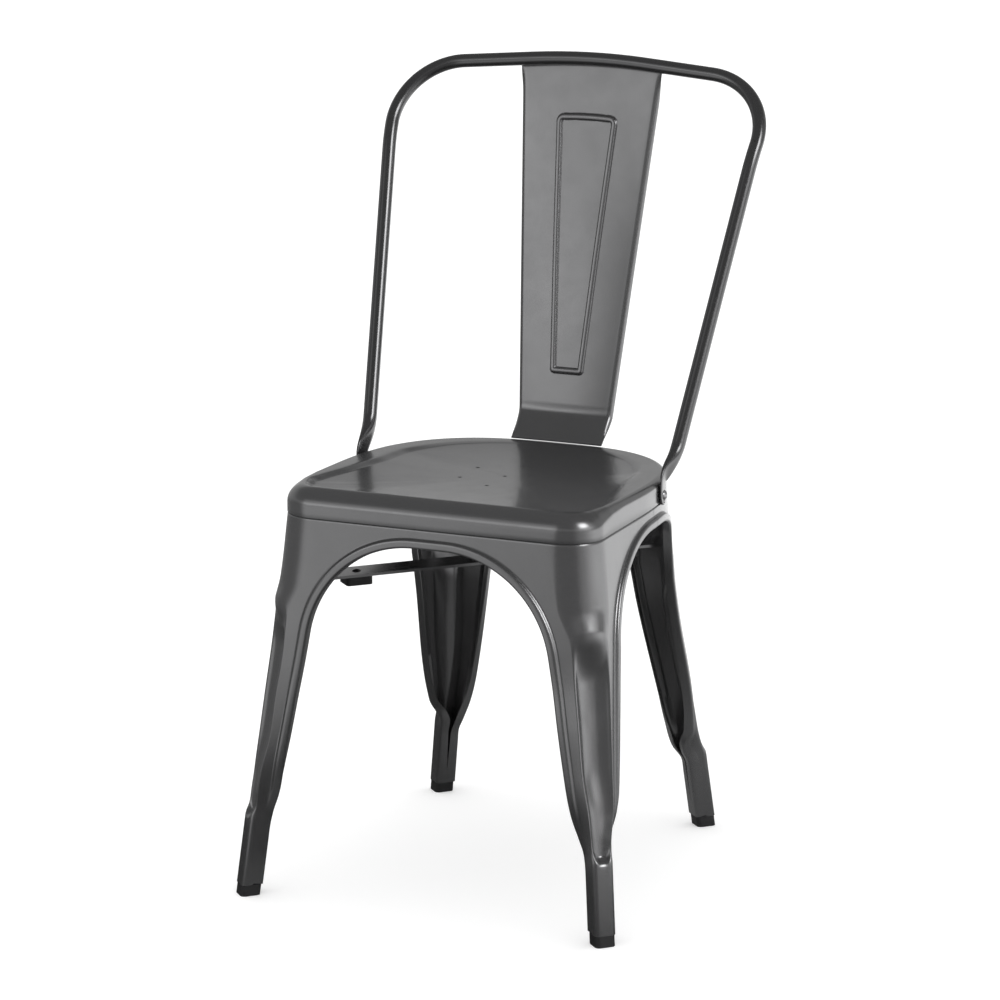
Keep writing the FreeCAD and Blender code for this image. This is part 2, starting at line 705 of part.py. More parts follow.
def hoop_end():
    # From the round tube down to the flat tab, on the right side; it starts inside the tube
    start, second = hoop_points()[:2]
    along = (second - start).normalize()
    turn = Rotation(Vector(0, 0, 1), tab_turn())
    flat_top = tab_centre(size("tab_top"))
    lap = size("end_lap")

    def placed(wire, centre, axis):
        wire.Placement = Placement(centre, Rotation(Vector(0, 0, 1), axis).multiply(turn))
        return wire

    round_wire = placed(round_section(size("hoop_tube") / 2 - lap), start + along * lap, along)
    middle = start + (flat_top - start) * 0.6
    middle_axis = (start - flat_top).normalize() + Vector(0, 0, 0.3)
    middle_wire = placed(stadium(19.0, 8.5), middle, middle_axis)
    flat_wire = placed(stadium(size("tab_wide"), size("tab_thick")), flat_top, Vector(0, 0, 1))
    taper = Part.makeLoft([round_wire, middle_wire, flat_wire], True, True)
    low_centre = tab_centre(size("tab_bottom") + size("tab_wide") / 2)
    tab = Part.Face(flat_wire).extrude(low_centre - flat_top)
    half_disc = Part.makeCylinder(size("tab_wide") / 2, size("tab_thick"))
    half_disc.Placement = Placement(low_centre, turn).multiply(
        Placement(Vector(-size("tab_thick") / 2, 0, 0), Rotation(Vector(0, 0, 1), Vector(1, 0, 0))))
    return taper.fuse([tab, half_disc])


def fixing_axis(left, height):
    turn = math.radians(tab_turn())
    direction = Vector(math.cos(turn), math.sin(turn), 0)
    centre = tab_centre(height)
    if left:
        direction.x *= -1
        centre.x *= -1
    return centre, direction


def fixing_holes():
    # Drills for the bolts and the small rivets, through the tabs and the skirt
    drills = []
    for height, shank in ((size("bolt_height"), size("bolt_size")), (size("pin_height"), size("pin_size"))):
        for left in (True, False):
            centre, direction = fixing_axis(left, height)
            radius = shank / 2 + size("fit_gap") / 2
            drills.append(Part.makeCylinder(radius, 30.0, centre - direction * 15.0, direction))
    return drills


# Domed bolts and rivets, drawn from the plane under the head with the head along +Z

def bound(kind, name, **bindings):
    # Object of the document whose sizes are bound to the sheet
    item = doc.addObject(kind, name)
    for path, expression in bindings.items():
        item.setExpression(path.replace("__", "."), expression)
    return item


def join(kind, name, shapes):
    item = doc.addObject(kind, name)
    if kind == "Part::MultiFuse" or kind == "Part::MultiCommon":
        item.Shapes = shapes
        item.Refine = True
    else:
        item.Base, item.Tool = shapes
    return item


def dome(name, head, crown, seat, sign):
    # Low dome on the plane at height seat, bulging along +Z or -Z
    radius = "(Sizes.%s ^ 2 / 4 + Sizes.%s ^ 2) / (2 * Sizes.%s)" % (head, crown, crown)
    centre = "%s + %d * (Sizes.%s - %s)" % (seat, sign, crown, radius)
    base = seat if sign > 0 else "%s - Sizes.%s" % (seat, crown)
    ball = bound("Part::Sphere", name + "_ball", Radius=radius, Placement__Base__z=centre)
    slab = bound("Part::Cylinder", name + "_slab", Radius="Sizes.%s" % head,
                 Height="Sizes.%s" % crown, Placement__Base__z=base)
    return join("Part::MultiCommon", name, [ball, slab])


def fastener(name, shank, head, crown, length, riveted):
    # Shank below the head; a riveted one has a second dome at its end
    pieces = [bound("Part::Cylinder", name + "_shank", Radius="Sizes.%s / 2" % shank,
                    Height="%s + Sizes.tiny_lap" % length, Placement__Base__z="-(%s)" % length),
              dome(name + "_head", head, crown, "0", 1)]
    if riveted:
        pieces.append(dome(name + "_tail", head, crown, "-(%s)" % length, -1))
    return join("Part::MultiFuse", name, pieces)


def outward_frame(point, direction):
    return Placement(point, Rotation(Vector(0, 0, 1), direction))


def washer(name):
    ring = bound("Part::Cylinder", name + "_ring", Radius="Sizes.washer_size / 2", Height="Sizes.washer_thick")
    hole = bound("Part::Cylinder", name + "_hole", Radius="Sizes.bolt_size / 2 + Sizes.fit_gap",
                 Height="Sizes.washer_thick")
    return join("Part::Cut", name, (ring, hole))


def nut(name):
    prism = bound("Part::Prism", name + "_prism", Circumradius="Sizes.nut_flats / sqrt(3)",
                  Height="Sizes.nut_height")
    bore = bound("Part::Cylinder", name + "_bore", Radius="Sizes.bolt_size / 2 + Sizes.thread_gap",
                 Height="Sizes.nut_height")
    return join("Part::Cut", name, (prism, bore))


def group(name, members):
    # Separate solids that share one name
    item = doc.addObject("Part::Compound", name)
    item.Links = members
    return item


def add_hoop_fixings():
    stack = {"bolts": [], "washers": [], "nuts": [], "pins": []}
    skirt = "Sizes.tab_thick + 2 * Sizes.fit_gap + Sizes.seat_sheet"
    for side in ("left", "right"):
        left = side == "left"
        centre, direction = fixing_axis(left, size("bolt_height"))
        head_seat = centre + direction * (size("tab_thick") / 2)
        inside = size("tab_thick") + size("fit_gap") + size("seat_sheet") + size("washer_gap")
        washer_seat = head_seat - direction * (inside + size("washer_thick"))
        nut_seat = washer_seat - direction * size("nut_height")
        bolt = fastener(side + "_bolt", "bolt_size", "bolt_head", "bolt_crown", "Sizes.bolt_grip", False)
        bolt.Placement = outward_frame(head_seat, direction)
        ring = washer(side + "_washer")
        ring.Placement = outward_frame(washer_seat, direction)
        hexagon = nut(side + "_nut")
        hexagon.Placement = outward_frame(nut_seat, direction)
        centre, direction = fixing_axis(left, size("pin_height"))
        pin = fastener(side + "_pin", "pin_size", "pin_head", "pin_crown", skirt, True)
        pin.Placement = outward_frame(centre + direction * (size("tab_thick") / 2), direction)
        for kind, item in zip(stack, (bolt, ring, hexagon, pin)):
            stack[kind].append(item)
    return [group("hoop_" + kind, members) for kind, members in stack.items()]


def make_hoop():
    points = hoop_points()
    left = [Vector(-p.x, p.y, p.z) for p in reversed(points[:-1])]
    radii = [size("hoop_bend"), size("hoop_corner")]
    path = tangent_path(points + left, radii + [size("hoop_crown")] + radii[::-1])
    start = points[0]
    along = (points[1] - points[0]).normalize()
    circle = Part.Wire([Part.makeCircle(size("hoop_tube") / 2, start, along)])
    tube = path.makePipeShell([circle], True, False)
    end = hoop_end()
    mirrored = end.mirror(Vector(0, 0, 0), Vector(1, 0, 0))
    hoop = tube.fuse([end, mirrored]).cut(fixing_holes())
    return hoop.removeSplitter()


# Back splat: one pressed sheet with rolled side edges and an embossed panel

def rolled_rim(y):
    # Height of the rear rim's rolled surface on the middle line
    radius = size("roll_radius")
    over = max(0.0, y - (size("seat_rear") - radius))
    return rim_height(y) - radius + math.sqrt(radius ** 2 - over ** 2)


def splat_low():
    # The lip's underside lies on the rolled rim with its clearance
    return rolled_rim(size("splat_foot") - size("lip_reach")) + size("lip_gap")


def splat_y(z):
    return size("splat_foot") + size("splat_lean") * (z - size("splat_bend"))


def splat_half(z):
    share = (z - splat_low()) / (size("splat_top") - splat_low())
    return size("splat_half_low") + share * (size("splat_half_top") - size("splat_half_low"))


def splat_profile(thickness, far_side):
    # Side view of the sheet's front or back surface, from the lip up to the top edge
    back = thickness if far_side else 0.0
    top, bend, low = size("splat_top"), size("splat_bend"), splat_low()
    lip = Vector(0, size("splat_foot") - size("lip_reach"), low + (0.0 if far_side else thickness))
    upper = Vector(0, splat_y(top) + back, top)
    knee = Vector(0, splat_y(bend) + back, bend)
    ankle = Vector(0, splat_y(bend) + back - 5.0, low + 14.0)
    return [upper, knee, ankle, lip]


def make_splat():
    thickness = size("splat_sheet")
    front = splat_profile(thickness, False)
    back = splat_profile(thickness, True)
    top = size("splat_top")
    wide = FAR
    front_curve = [Part.makeLine(front[0], front[1]), spline(front[1:])]
    back_curve = [spline(list(reversed(back[1:]))), Part.makeLine(back[1], back[0])]
    side_wire = Part.Wire(front_curve + [Part.makeLine(front[3], back[3])] + back_curve
                          + [Part.makeLine(back[0], front[0])])
    side_wire.translate(Vector(-wide / 2, 0, 0))
    sheet_shape = Part.Face(side_wire).extrude(Vector(wide, 0, 0))
    low = splat_low()

    def trapezoid(margin):
        upper = size("splat_half_top") - margin
        lower = size("splat_half_low") - margin
        corners = [Vector(-lower, 0, low - 2), Vector(lower, 0, low - 2),
                   Vector(upper, 0, top + 2), Vector(-upper, 0, top + 2)]
        return polygon_prism(corners, Vector(0, FAR, 0))

    body = sheet_shape.common(trapezoid(0.0))
    # Rolled side edges, turned to the back above the bend
    fold = size("splat_fold")
    fold_front = [Vector(0, p.y, p.z) for p in front[:2]]
    fold_corners = fold_front + [Vector(0, front[1].y + fold, front[1].z - 6.0),
                                 Vector(0, front[0].y + fold, front[0].z - 10.0)]
    fold_wire = [p - Vector(wide / 2, 0, 0) for p in fold_corners]
    fold_block = polygon_prism(fold_wire, Vector(wide, 0, 0))
    edge_strips = trapezoid(0.0).cut(trapezoid(thickness))
    body = body.fuse(fold_block.common(edge_strips))
    # Bead round the panel, pressed forward
    bead, bead_up = size("bead_width"), size("bead_height")

    def panel(margin, front_reach, back_reach):
        upper = size("panel_half_top") - margin
        lower = size("panel_half_low") - margin
        z_top, z_low = size("panel_top") - margin, size("panel_bottom") + margin
        corners = [Vector(-lower, 0, z_low), Vector(lower, 0, z_low),
                   Vector(upper, 0, z_top), Vector(-upper, 0, z_top)]
        block = polygon_prism(corners, Vector(0, FAR, 0))
        upright = [e for e in block.Edges if abs(e.Vertexes[0].Y - e.Vertexes[-1].Y) > 10]
        block = block.makeFillet(max(2.0, 9.0 - margin), upright)
        slab_low, slab_high = z_low - 20, z_top + 20
        slab = [Vector(-wide / 2, splat_y(slab_low) - front_reach, slab_low),
                Vector(-wide / 2, splat_y(slab_high) - front_reach, slab_high),
                Vector(-wide / 2, splat_y(slab_high) + back_reach, slab_high),
                Vector(-wide / 2, splat_y(slab_low) + back_reach, slab_low)]
        return block.common(polygon_prism(slab, Vector(wide, 0, 0)))

    ring = panel(0.0, bead_up, 0.01).cut(panel(bead, bead_up + 5, 5))
    hollow = panel(thickness, bead_up - thickness, 5.0).cut(panel(bead - thickness, bead_up + 5, 6))
    body = body.fuse(ring).cut(hollow)
    return body.removeSplitter()


# Diagonal brace strips under the seat, with the stacking bumpers below them

def strip_frame(toward_right, level):
    # Strip's centre line: from the front corner on one side to the rear corner on the other
    turn = size("brace_turn") if toward_right else 180.0 - size("brace_turn")
    return Placement(Vector(0, 0, level), Rotation(Vector(0, 0, 1), turn))


def make_strip(toward_right, top):
    # A flat bar that ends just inside the front and the rear leg of its diagonal
    wide, thick = size("brace_width"), size("brace_thick")
    bar = Part.makeBox(2 * FAR, wide, thick, Vector(-FAR, -wide / 2, 0))
    bar.Placement = strip_frame(toward_right, top - thick)
    inside = -size("leg_sheet") - size("fit_gap")
    middle = Part.makeBox(4 * wide, 4 * wide, thick, Vector(-2 * wide, -2 * wide, top - thick))
    spans = [bar.common(middle)]
    for which, left in (("front", toward_right), ("rear", not toward_right)):
        block = quarter_placement(leg_block(which, lambda z: inside), left, which == "front")
        spans.append(bar.common(block))
    bar = spans[0].fuse(spans[1:]).removeSplitter()
    drills = [Part.makeCylinder(size("rivet_size") / 2 + size("fit_gap") / 2, 2 * thick,
                                place - Vector(0, 0, 1.5 * thick), Vector(0, 0, 1))
              for place in [Vector(0, 0, top)] + bumper_places(toward_right, top)]
    return bar.cut(drills)


def bumper_places(toward_right, top):
    # Front and rear bumper on one strip
    frame = strip_frame(toward_right, top)
    return [frame.multVec(Vector(-size("bumper_front"), 0, 0)),
            frame.multVec(Vector(size("bumper_rear"), 0, 0))]


def bumper(name):
    # Rubber block below z = 0 with rounded upright edges and a hole for its rivet
    block = bound("Part::Box", name + "_block", Length="Sizes.bumper_length", Width="Sizes.bumper_width",
                  Height="Sizes.bumper_height", Placement__Base__x="-Sizes.bumper_length / 2",
                  Placement__Base__y="-Sizes.bumper_width / 2", Placement__Base__z="-Sizes.bumper_height")
    doc.recompute()
    rounded = doc.addObject("Part::Fillet", name + "_rounded")
    rounded.Base = block
    radius = size("bumper_round")
    rounded.Edges = [(index, radius, radius) for index, edge in enumerate(block.Shape.Edges, start=1)
                     if abs(edge.Vertexes[0].Z - edge.Vertexes[1].Z) > radius]
    depth = "Sizes.bumper_height / 2 + Sizes.fit_gap"
    drill = bound("Part::Cylinder", name + "_drill", Radius="Sizes.rivet_size / 2", Height=depth,
                  Placement__Base__z="-(%s)" % depth)
    return join("Part::Cut", name, (rounded, drill))


def add_under_fixings():
    # Bumpers below the strips, their rivets and the rivet where the strips cross
    made, rivets = [], []
    grip = "Sizes.brace_thick + Sizes.bumper_height / 2"
    down = Vector(0, 0, size("brace_thick"))
    for toward_right, top, ends in STRIPS.values():
        turn = strip_frame(toward_right, 0).Rotation
        for end, place in zip(ends, bumper_places(toward_right, top())):
            block = bumper(end + "_bumper")
            block.Placement = Placement(place - down, turn)
            made.append(block)
            rivet = fastener(end + "_rivet", "rivet_size", "rivet_head", "rivet_crown", grip, False)
            rivet.Placement = Placement(place, Rotation())
            rivets.append(rivet)
    made.append(group("bumper_rivets", rivets))
    middle = fastener("brace_rivet", "rivet_size", "rivet_head", "rivet_crown", "2 * Sizes.brace_thick", True)
    middle.Placement = Placement(Vector(0, 0, size("brace_top")), Rotation())
    made.append(middle)
    return made


# Name, direction, top height and the two ends of each strip
STRIPS = {
    "upper": (True, lambda: size("brace_top"), ("front_left", "rear_right")),
    "lower": (False, lambda: size("brace_top") - size("brace_thick"), ("front_right", "rear_left")),
}


def rounded_square(side, radius):
    blank = Part.makeBox(side, side, 1.0, Vector(-side / 2, -side / 2, 0))
    upright = [e for e in blank.Edges if abs(e.Vertexes[0].Z - e.Vertexes[1].Z) > 0.5]
    rounded = blank.makeFillet(radius, upright)
    base = [f for f in rounded.Faces if abs(f.CenterOfMass.z) < TINY][0]
    return base.OuterWire


def leg_wire(which, z, side, radius):
    wire = rounded_square(side, radius)
    wire.Placement = Placement(at_height(leg_end(which, z), z), Rotation(Vector(0, 0, 1), 45))
    return wire


def make_foot(which):
    top = size("foot_height")
    pad = Part.makeLoft([leg_wire(which, z, size("foot_side"), size("foot_round"))
                         for z in (0.0, top)], True, True)
    wall = size("leg_sheet")
    side = size("tube_side") - 2 * wall - 2 * size("fit_gap")
    radius = size("tube_round") - wall
    stem = Part.makeLoft([leg_wire(which, z, side, radius)
                          for z in (top - 1, top + size("plug_length"))], True, True)
    return pad.fuse(stem).removeSplitter()


def add_feature(name, shape):
    feature = doc.addObject("Part::Feature", name)
    feature.Label = name
    feature.Shape = shape
    return feature


# Origin under the middle of the chair's box

foot_corner = size("foot_side") / math.sqrt(2) - size("foot_round") * (math.sqrt(2) - 1)
front_reach = leg_end("front", 0.0).y + foot_corner
rear_reach = splat_y(size("splat_top")) + size("splat_sheet") * math.hypot(1, size("splat_lean"))
SHIFT = Vector(0, (front_reach - rear_reach) / 2, 0)


def add_shapes():
    # Pressed and bent pieces, whose shapes are worked out above
    shapes = {"seat_pan": make_seat()}
    for which in ("front", "rear"):
        leg = make_leg(which)
        foot = make_foot(which)
        for side in ("left", "right"):
            name = "%s_%s" % (which, side)
            shapes[name + "_leg"] = quarter_placement(leg, side == "left", which == "front")
            shapes[name + "_foot"] = quarter_placement(foot, side == "left", which == "front")
    shapes["back_hoop"] = make_hoop()
    shapes["back_splat"] = make_splat()
    for name, (toward_right, top, ends) in STRIPS.items():
        shapes["brace_strip_" + name] = make_strip(toward_right, top())
    return [add_feature(name, shape) for name, shape in shapes.items()]


def main():
    pieces = add_shapes() + add_hoop_fixings() + add_under_fixings()
    for piece in pieces:
        piece.Label = piece.Name
        piece.Placement = Placement(SHIFT, Rotation()).multiply(piece.Placement)
    doc.recompute()
    for item in doc.Objects:
        if "Invalid" in item.State or "Error" in item.State:
            raise ValueError("%s failed: %s" % (item.Name, item.State))
    for piece in pieces:
        if piece.Shape.isNull() or not piece.Shape.isValid():
            raise ValueError("%s has no valid shape" % piece.Label)
        print(piece.Label, len(piece.Shape.Solids), round(piece.Shape.Volume))
    os.makedirs("parts", exist_ok=True)
    for piece in pieces:
        piece.Shape.exportStep("parts/%s.step" % piece.Label)


main()
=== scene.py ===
import json
import math

import bmesh
import bpy
import numpy as np
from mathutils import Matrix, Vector


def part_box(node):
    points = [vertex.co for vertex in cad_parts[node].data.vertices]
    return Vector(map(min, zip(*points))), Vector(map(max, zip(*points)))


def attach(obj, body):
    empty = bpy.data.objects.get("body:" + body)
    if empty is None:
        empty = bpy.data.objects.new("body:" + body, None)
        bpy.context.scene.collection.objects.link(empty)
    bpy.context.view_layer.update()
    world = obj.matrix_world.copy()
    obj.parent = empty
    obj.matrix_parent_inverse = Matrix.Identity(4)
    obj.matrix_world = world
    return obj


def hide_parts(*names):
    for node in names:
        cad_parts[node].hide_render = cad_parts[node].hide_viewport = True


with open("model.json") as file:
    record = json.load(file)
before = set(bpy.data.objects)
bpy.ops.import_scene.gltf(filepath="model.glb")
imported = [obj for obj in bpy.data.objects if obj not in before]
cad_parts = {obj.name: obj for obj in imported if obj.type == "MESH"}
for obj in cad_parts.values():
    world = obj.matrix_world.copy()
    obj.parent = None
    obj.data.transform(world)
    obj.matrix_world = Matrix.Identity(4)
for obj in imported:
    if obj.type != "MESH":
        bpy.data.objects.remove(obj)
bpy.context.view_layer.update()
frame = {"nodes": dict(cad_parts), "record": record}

mm = 0.001

# Camera at the photograph's angle; the target is a point in the chair's middle plane
cameraFacts = {
    "azimuth": math.radians(23.2),
    "elevation": math.radians(13.6),
    "distance": 4252.6 * mm,
    "target": Vector((0.5, -20.0, 402.3)) * mm,
    "lens": 144.0,
    "sensor": 36.0,
}


def addCamera(facts):
    data = bpy.data.cameras.new("camera")
    data.lens = facts["lens"]
    data.sensor_width = facts["sensor"]
    data.clip_end = 50.0
    camera = bpy.data.objects.new("camera", data)
    bpy.context.scene.collection.objects.link(camera)
    azimuth, elevation = facts["azimuth"], facts["elevation"]
    back = Vector((math.sin(azimuth) * math.cos(elevation),
                   -math.cos(azimuth) * math.cos(elevation), math.sin(elevation)))
    camera.location = facts["target"] + back * facts["distance"]
    camera.rotation_euler = (-back).to_track_quat("-Z", "Y").to_euler()
    bpy.context.scene.camera = camera


addCamera(cameraFacts)

# Sizes that the pressed pieces share, in millimetres from the middle of the four feet
shared = {
    "seatHalf": 176.5,
    "seatFront": 182.1,
    "seatRear": 169.3,
    "seatCorner": 39.5,
    "curveStart": -53.0,
    "rearFlat": 3.0,
    "curvePower": 2.76,
    "frontTop": 440.0,
    "rearTop": 432.0,
    "seam": 409.0,
    "sheet": 1.5,
    "sideLean": 0.105,
    "rearLean": 0.087,
}
# The frame's origin lies a little behind the middle of the feet
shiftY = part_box("seat_pan")[0][1] / mm + shared["seatFront"]


def smoothTable(rows):
    # Monotone cubic through rows of (place, value, value, ...); returns a function of the place
    rows = np.array(sorted(rows, key=lambda row: row[0]), dtype=float)
    xs, ys = rows[:, 0], rows[:, 1:]
    step = np.diff(xs)[:, None]
    slope = np.diff(ys, axis=0) / step
    tangent = np.zeros_like(ys)
    tangent[0], tangent[-1] = slope[0], slope[-1]
    for i in range(1, len(xs) - 1):
        same = slope[i - 1] * slope[i] > 0
        w1, w2 = 2 * step[i] + step[i - 1], step[i] + 2 * step[i - 1]
        with np.errstate(divide="ignore", invalid="ignore"):
            mean = (w1 + w2) / (w1 / slope[i - 1] + w2 / slope[i])
        tangent[i] = np.where(same, mean, 0.0)

    def value(x):
        x = np.clip(np.asarray(x, dtype=float), xs[0], xs[-1])
        i = np.clip(np.searchsorted(xs, x, side="right") - 1, 0, len(xs) - 2)
        h = (xs[i + 1] - xs[i])
        t = ((x - xs[i]) / h)[..., None]
        h = h[..., None]
        a, b = ys[i], ys[i + 1]
        p, q = tangent[i] * h, tangent[i + 1] * h
        return ((2 * t**3 - 3 * t**2 + 1) * a + (t**3 - 2 * t**2 + t) * p
                + (-2 * t**3 + 3 * t**2) * b + (t**3 - t**2) * q)

    return value


def smoothStep(x, low, high):
    t = np.clip((np.asarray(x, dtype=float) - low) / (high - low), 0.0, 1.0)
    return t * t * (3 - 2 * t)


def tableAt(x, rows):
    # Straight lines through rows of (place, value)
    rows = np.array(rows)
    return np.interp(x, rows[:, 0], rows[:, 1])


def quarterCurve(distance, run):
    # Rounded quarter of the seat's outline: 1 at its start, 0 at the end of the run
    power = shared["curvePower"]
    share = np.clip(distance / run, 0.0, 1.0)
    return (1 - share**power) ** (1 / power)


def outlineX(y):
    # Half width of the seat's outline at a place, from the straight side to the rear
    run = shared["seatRear"] - shared["curveStart"]
    curve = quarterCurve(np.asarray(y, dtype=float) - shared["curveStart"], run)
    return shared["rearFlat"] + (shared["seatHalf"] - shared["rearFlat"]) * curve


def outlineY(x):
    # Rear edge of the seat's outline at a distance from the middle
    run = shared["seatHalf"] - shared["rearFlat"]
    curve = quarterCurve(np.abs(x) - shared["rearFlat"], run)
    return shared["curveStart"] + (shared["seatRear"] - shared["curveStart"]) * curve


# Materials

def addNode(tree, kind, settings=None, **values):
    node = tree.nodes.new(kind)
    for name, value in (settings or {}).items():
        setattr(node, name, value)
    for name, value in values.items():
        node.inputs[name.replace("_", " ")].default_value = value
    return node


def newMaterial(name):
    material = bpy.data.materials.new(name)
    material.use_nodes = True
    tree = material.node_tree
    return material, tree, tree.nodes["Principled BSDF"], addNode(tree, "ShaderNodeTexCoord")


def toneBetween(tree, dark, light, source, target):
    # Colour between two tones, by a value from 0 to 1
    tone = addNode(tree, "ShaderNodeMix", {"data_type": "RGBA"})
    factor, first, second, colour = tone.inputs[0], tone.inputs[6], tone.inputs[7], tone.outputs[2]
    first.default_value = (*dark, 1)
    second.default_value = (*light, 1)
    tree.links.new(source, factor)
    tree.links.new(colour, target)


def scaledSum(tree, source, scale, offset):
    node = addNode(tree, "ShaderNodeMath", {"operation": "MULTIPLY_ADD"})
    node.inputs[1].default_value = scale
    tree.links.new(source, node.inputs[0])
    if isinstance(offset, float):
        node.inputs[2].default_value = offset
    else:
        tree.links.new(offset, node.inputs[2])
    return node.outputs[0]


paintFacts = {
    # Noise scales per metre
    "cloud": 9.0, "flake": 1100.0, "peel": 260.0, "scuff": 42.0,
    # Share of the lighter tone: at least, by the clouds, by the flakes
    "toneStart": 0.2, "toneCloud": 0.5, "toneFlake": 0.1,
    # Roughness below and above the paint's own
    "glossier": 0.015, "duller": 0.03,
    "bump": 0.001, "metallic": 0.85, "coat": 0.35, "coatRoughness": 0.12,
}


def paintedMetal(name, dark, light, roughness):
    # Grey metallic coat: fine flake, faint broad clouding, slight changes of gloss
    f = paintFacts
    material, tree, shader, place = newMaterial(name)
    link = tree.links.new
    cloud = addNode(tree, "ShaderNodeTexNoise", Scale=f["cloud"], Detail=3.0, Roughness=0.55)
    flake = addNode(tree, "ShaderNodeTexNoise", Scale=f["flake"], Detail=1.0)
    peel = addNode(tree, "ShaderNodeTexNoise", Scale=f["peel"], Detail=2.0)
    scuff = addNode(tree, "ShaderNodeTexNoise", Scale=f["scuff"], Detail=5.0, Roughness=0.7)
    for texture in (cloud, flake, peel, scuff):
        link(place.outputs["Object"], texture.inputs["Vector"])
    clouding = scaledSum(tree, cloud.outputs["Fac"], f["toneCloud"], f["toneStart"])
    grain = scaledSum(tree, flake.outputs["Fac"], f["toneFlake"], clouding)
    toneBetween(tree, dark, light, grain, shader.inputs["Base Color"])
    rough = addNode(tree, "ShaderNodeMapRange", From_Min=0.35, From_Max=0.7,
                    To_Min=roughness - f["glossier"], To_Max=roughness + f["duller"])
    link(scuff.outputs["Fac"], rough.inputs["Value"])
    link(rough.outputs["Result"], shader.inputs["Roughness"])
    bump = addNode(tree, "ShaderNodeBump", Strength=f["bump"], Distance=0.0002)
    link(peel.outputs["Fac"], bump.inputs["Height"])
    link(bump.outputs["Normal"], shader.inputs["Normal"])
    shader.inputs["Metallic"].default_value = f["metallic"]
    shader.inputs["Coat Weight"].default_value = f["coat"]
    shader.inputs["Coat Roughness"].default_value = f["coatRoughness"]
    return material


rubberFacts = {"dark": (0.006, 0.006, 0.0065), "light": (0.02, 0.02, 0.021), "roughness": 0.55, "bump": 0.15}


def rubberMaterial():
    f = rubberFacts
    material, tree, shader, place = newMaterial("blackRubber")
    link = tree.links.new
    grain = addNode(tree, "ShaderNodeTexNoise", Scale=900.0, Detail=2.0)
    dust = addNode(tree, "ShaderNodeTexNoise", Scale=60.0, Detail=4.0)
    bump = addNode(tree, "ShaderNodeBump", Strength=f["bump"], Distance=0.0003)
    link(place.outputs["Object"], grain.inputs["Vector"])
    link(place.outputs["Object"], dust.inputs["Vector"])
    toneBetween(tree, f["dark"], f["light"], dust.outputs["Fac"], shader.inputs["Base Color"])
    link(grain.outputs["Fac"], bump.inputs["Height"])
    link(bump.outputs["Normal"], shader.inputs["Normal"])
    shader.inputs["Roughness"].default_value = f["roughness"]
    return material


platedFacts = {"dark": (0.22, 0.22, 0.23), "light": (0.5, 0.5, 0.5), "roughness": (0.22, 0.42), "stain": 380.0}


def platedMaterial():
    f = platedFacts
    material, tree, shader, place = newMaterial("platedSteel")
    link = tree.links.new
    stain = addNode(tree, "ShaderNodeTexNoise", Scale=f["stain"], Detail=3.0)
    rough = addNode(tree, "ShaderNodeMapRange", To_Min=f["roughness"][0], To_Max=f["roughness"][1])
    link(place.outputs["Object"], stain.inputs["Vector"])
    toneBetween(tree, f["dark"], f["light"], stain.outputs["Fac"], shader.inputs["Base Color"])
    link(stain.outputs["Fac"], rough.inputs["Value"])
    link(rough.outputs["Result"], shader.inputs["Roughness"])
    shader.inputs["Metallic"].default_value = 1.0
    return material


gunmetal = paintedMetal("gunmetalPaint", (0.145, 0.145, 0.148), (0.215, 0.215, 0.218), 0.24)
# Darker, slightly glossier copy of the gunmetal paint for the back hoop: its darker tone is painted shade
tubeShadedPaint = paintedMetal("tubeShadedPaint", (0.085, 0.085, 0.087), (0.125, 0.125, 0.127), 0.2)
rubber = rubberMaterial()
plated = platedMaterial()
slotMaterials = {"gunmetal_paint": gunmetal, "black_rubber": rubber, "plated_fixings": plated}


# Mesh helpers

def addPiece(name, points, faces, slotName, replaced):
    # points in millimetres from the middle of the feet
    mesh = bpy.data.meshes.new(name)
    points = np.asarray(points, dtype=float).copy()
    points[:, 1] += shiftY
    mesh.from_pydata((points * mm).tolist(), [], faces)
    mesh.update()
    piece = bpy.data.objects.new(name, mesh)
    bpy.context.scene.collection.objects.link(piece)
    piece.data.materials.append(slotMaterials[slotName])
    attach(piece, "root")
    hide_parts(replaced)
    return piece


def gridFaces(rows, columns, first=0, closed=False):
    faces = []
    for i in range(rows - 1):
        low = first + i * columns
        high = low + columns
        for j in range(columns if closed else columns - 1):
            after = (j + 1) % columns
            faces.append((low + j, low + after, high + after, high + j))
    return faces


class Shell:
    # Collects grids of points into one mesh; the rows of a closed grid are rings
    def __init__(self):
        self.points = []
        self.faces = []
        self.count = 0

    def add(self, grid, flip=False, closed=False):
        rows, columns = grid.shape[:2]
        faces = gridFaces(rows, columns, self.count, closed)
        if flip:
            faces = [face[::-1] for face in faces]
        self.points.append(grid.reshape(-1, 3))
        self.faces += faces
        self.count += rows * columns

    def done(self):
        return np.concatenate(self.points), self.faces


def mirrored(points, faces, left, front):
    # From the quarter x > 0, y > 0 to a leg's own corner
    points = points * np.array([-1.0 if left else 1.0, -1.0 if front else 1.0, 1.0])
    if left != front:
        faces = [face[::-1] for face in faces]
    return points, faces


# Legs. Each is described in the quarter x > 0, y > 0: two wings that meet in a fluted corner.

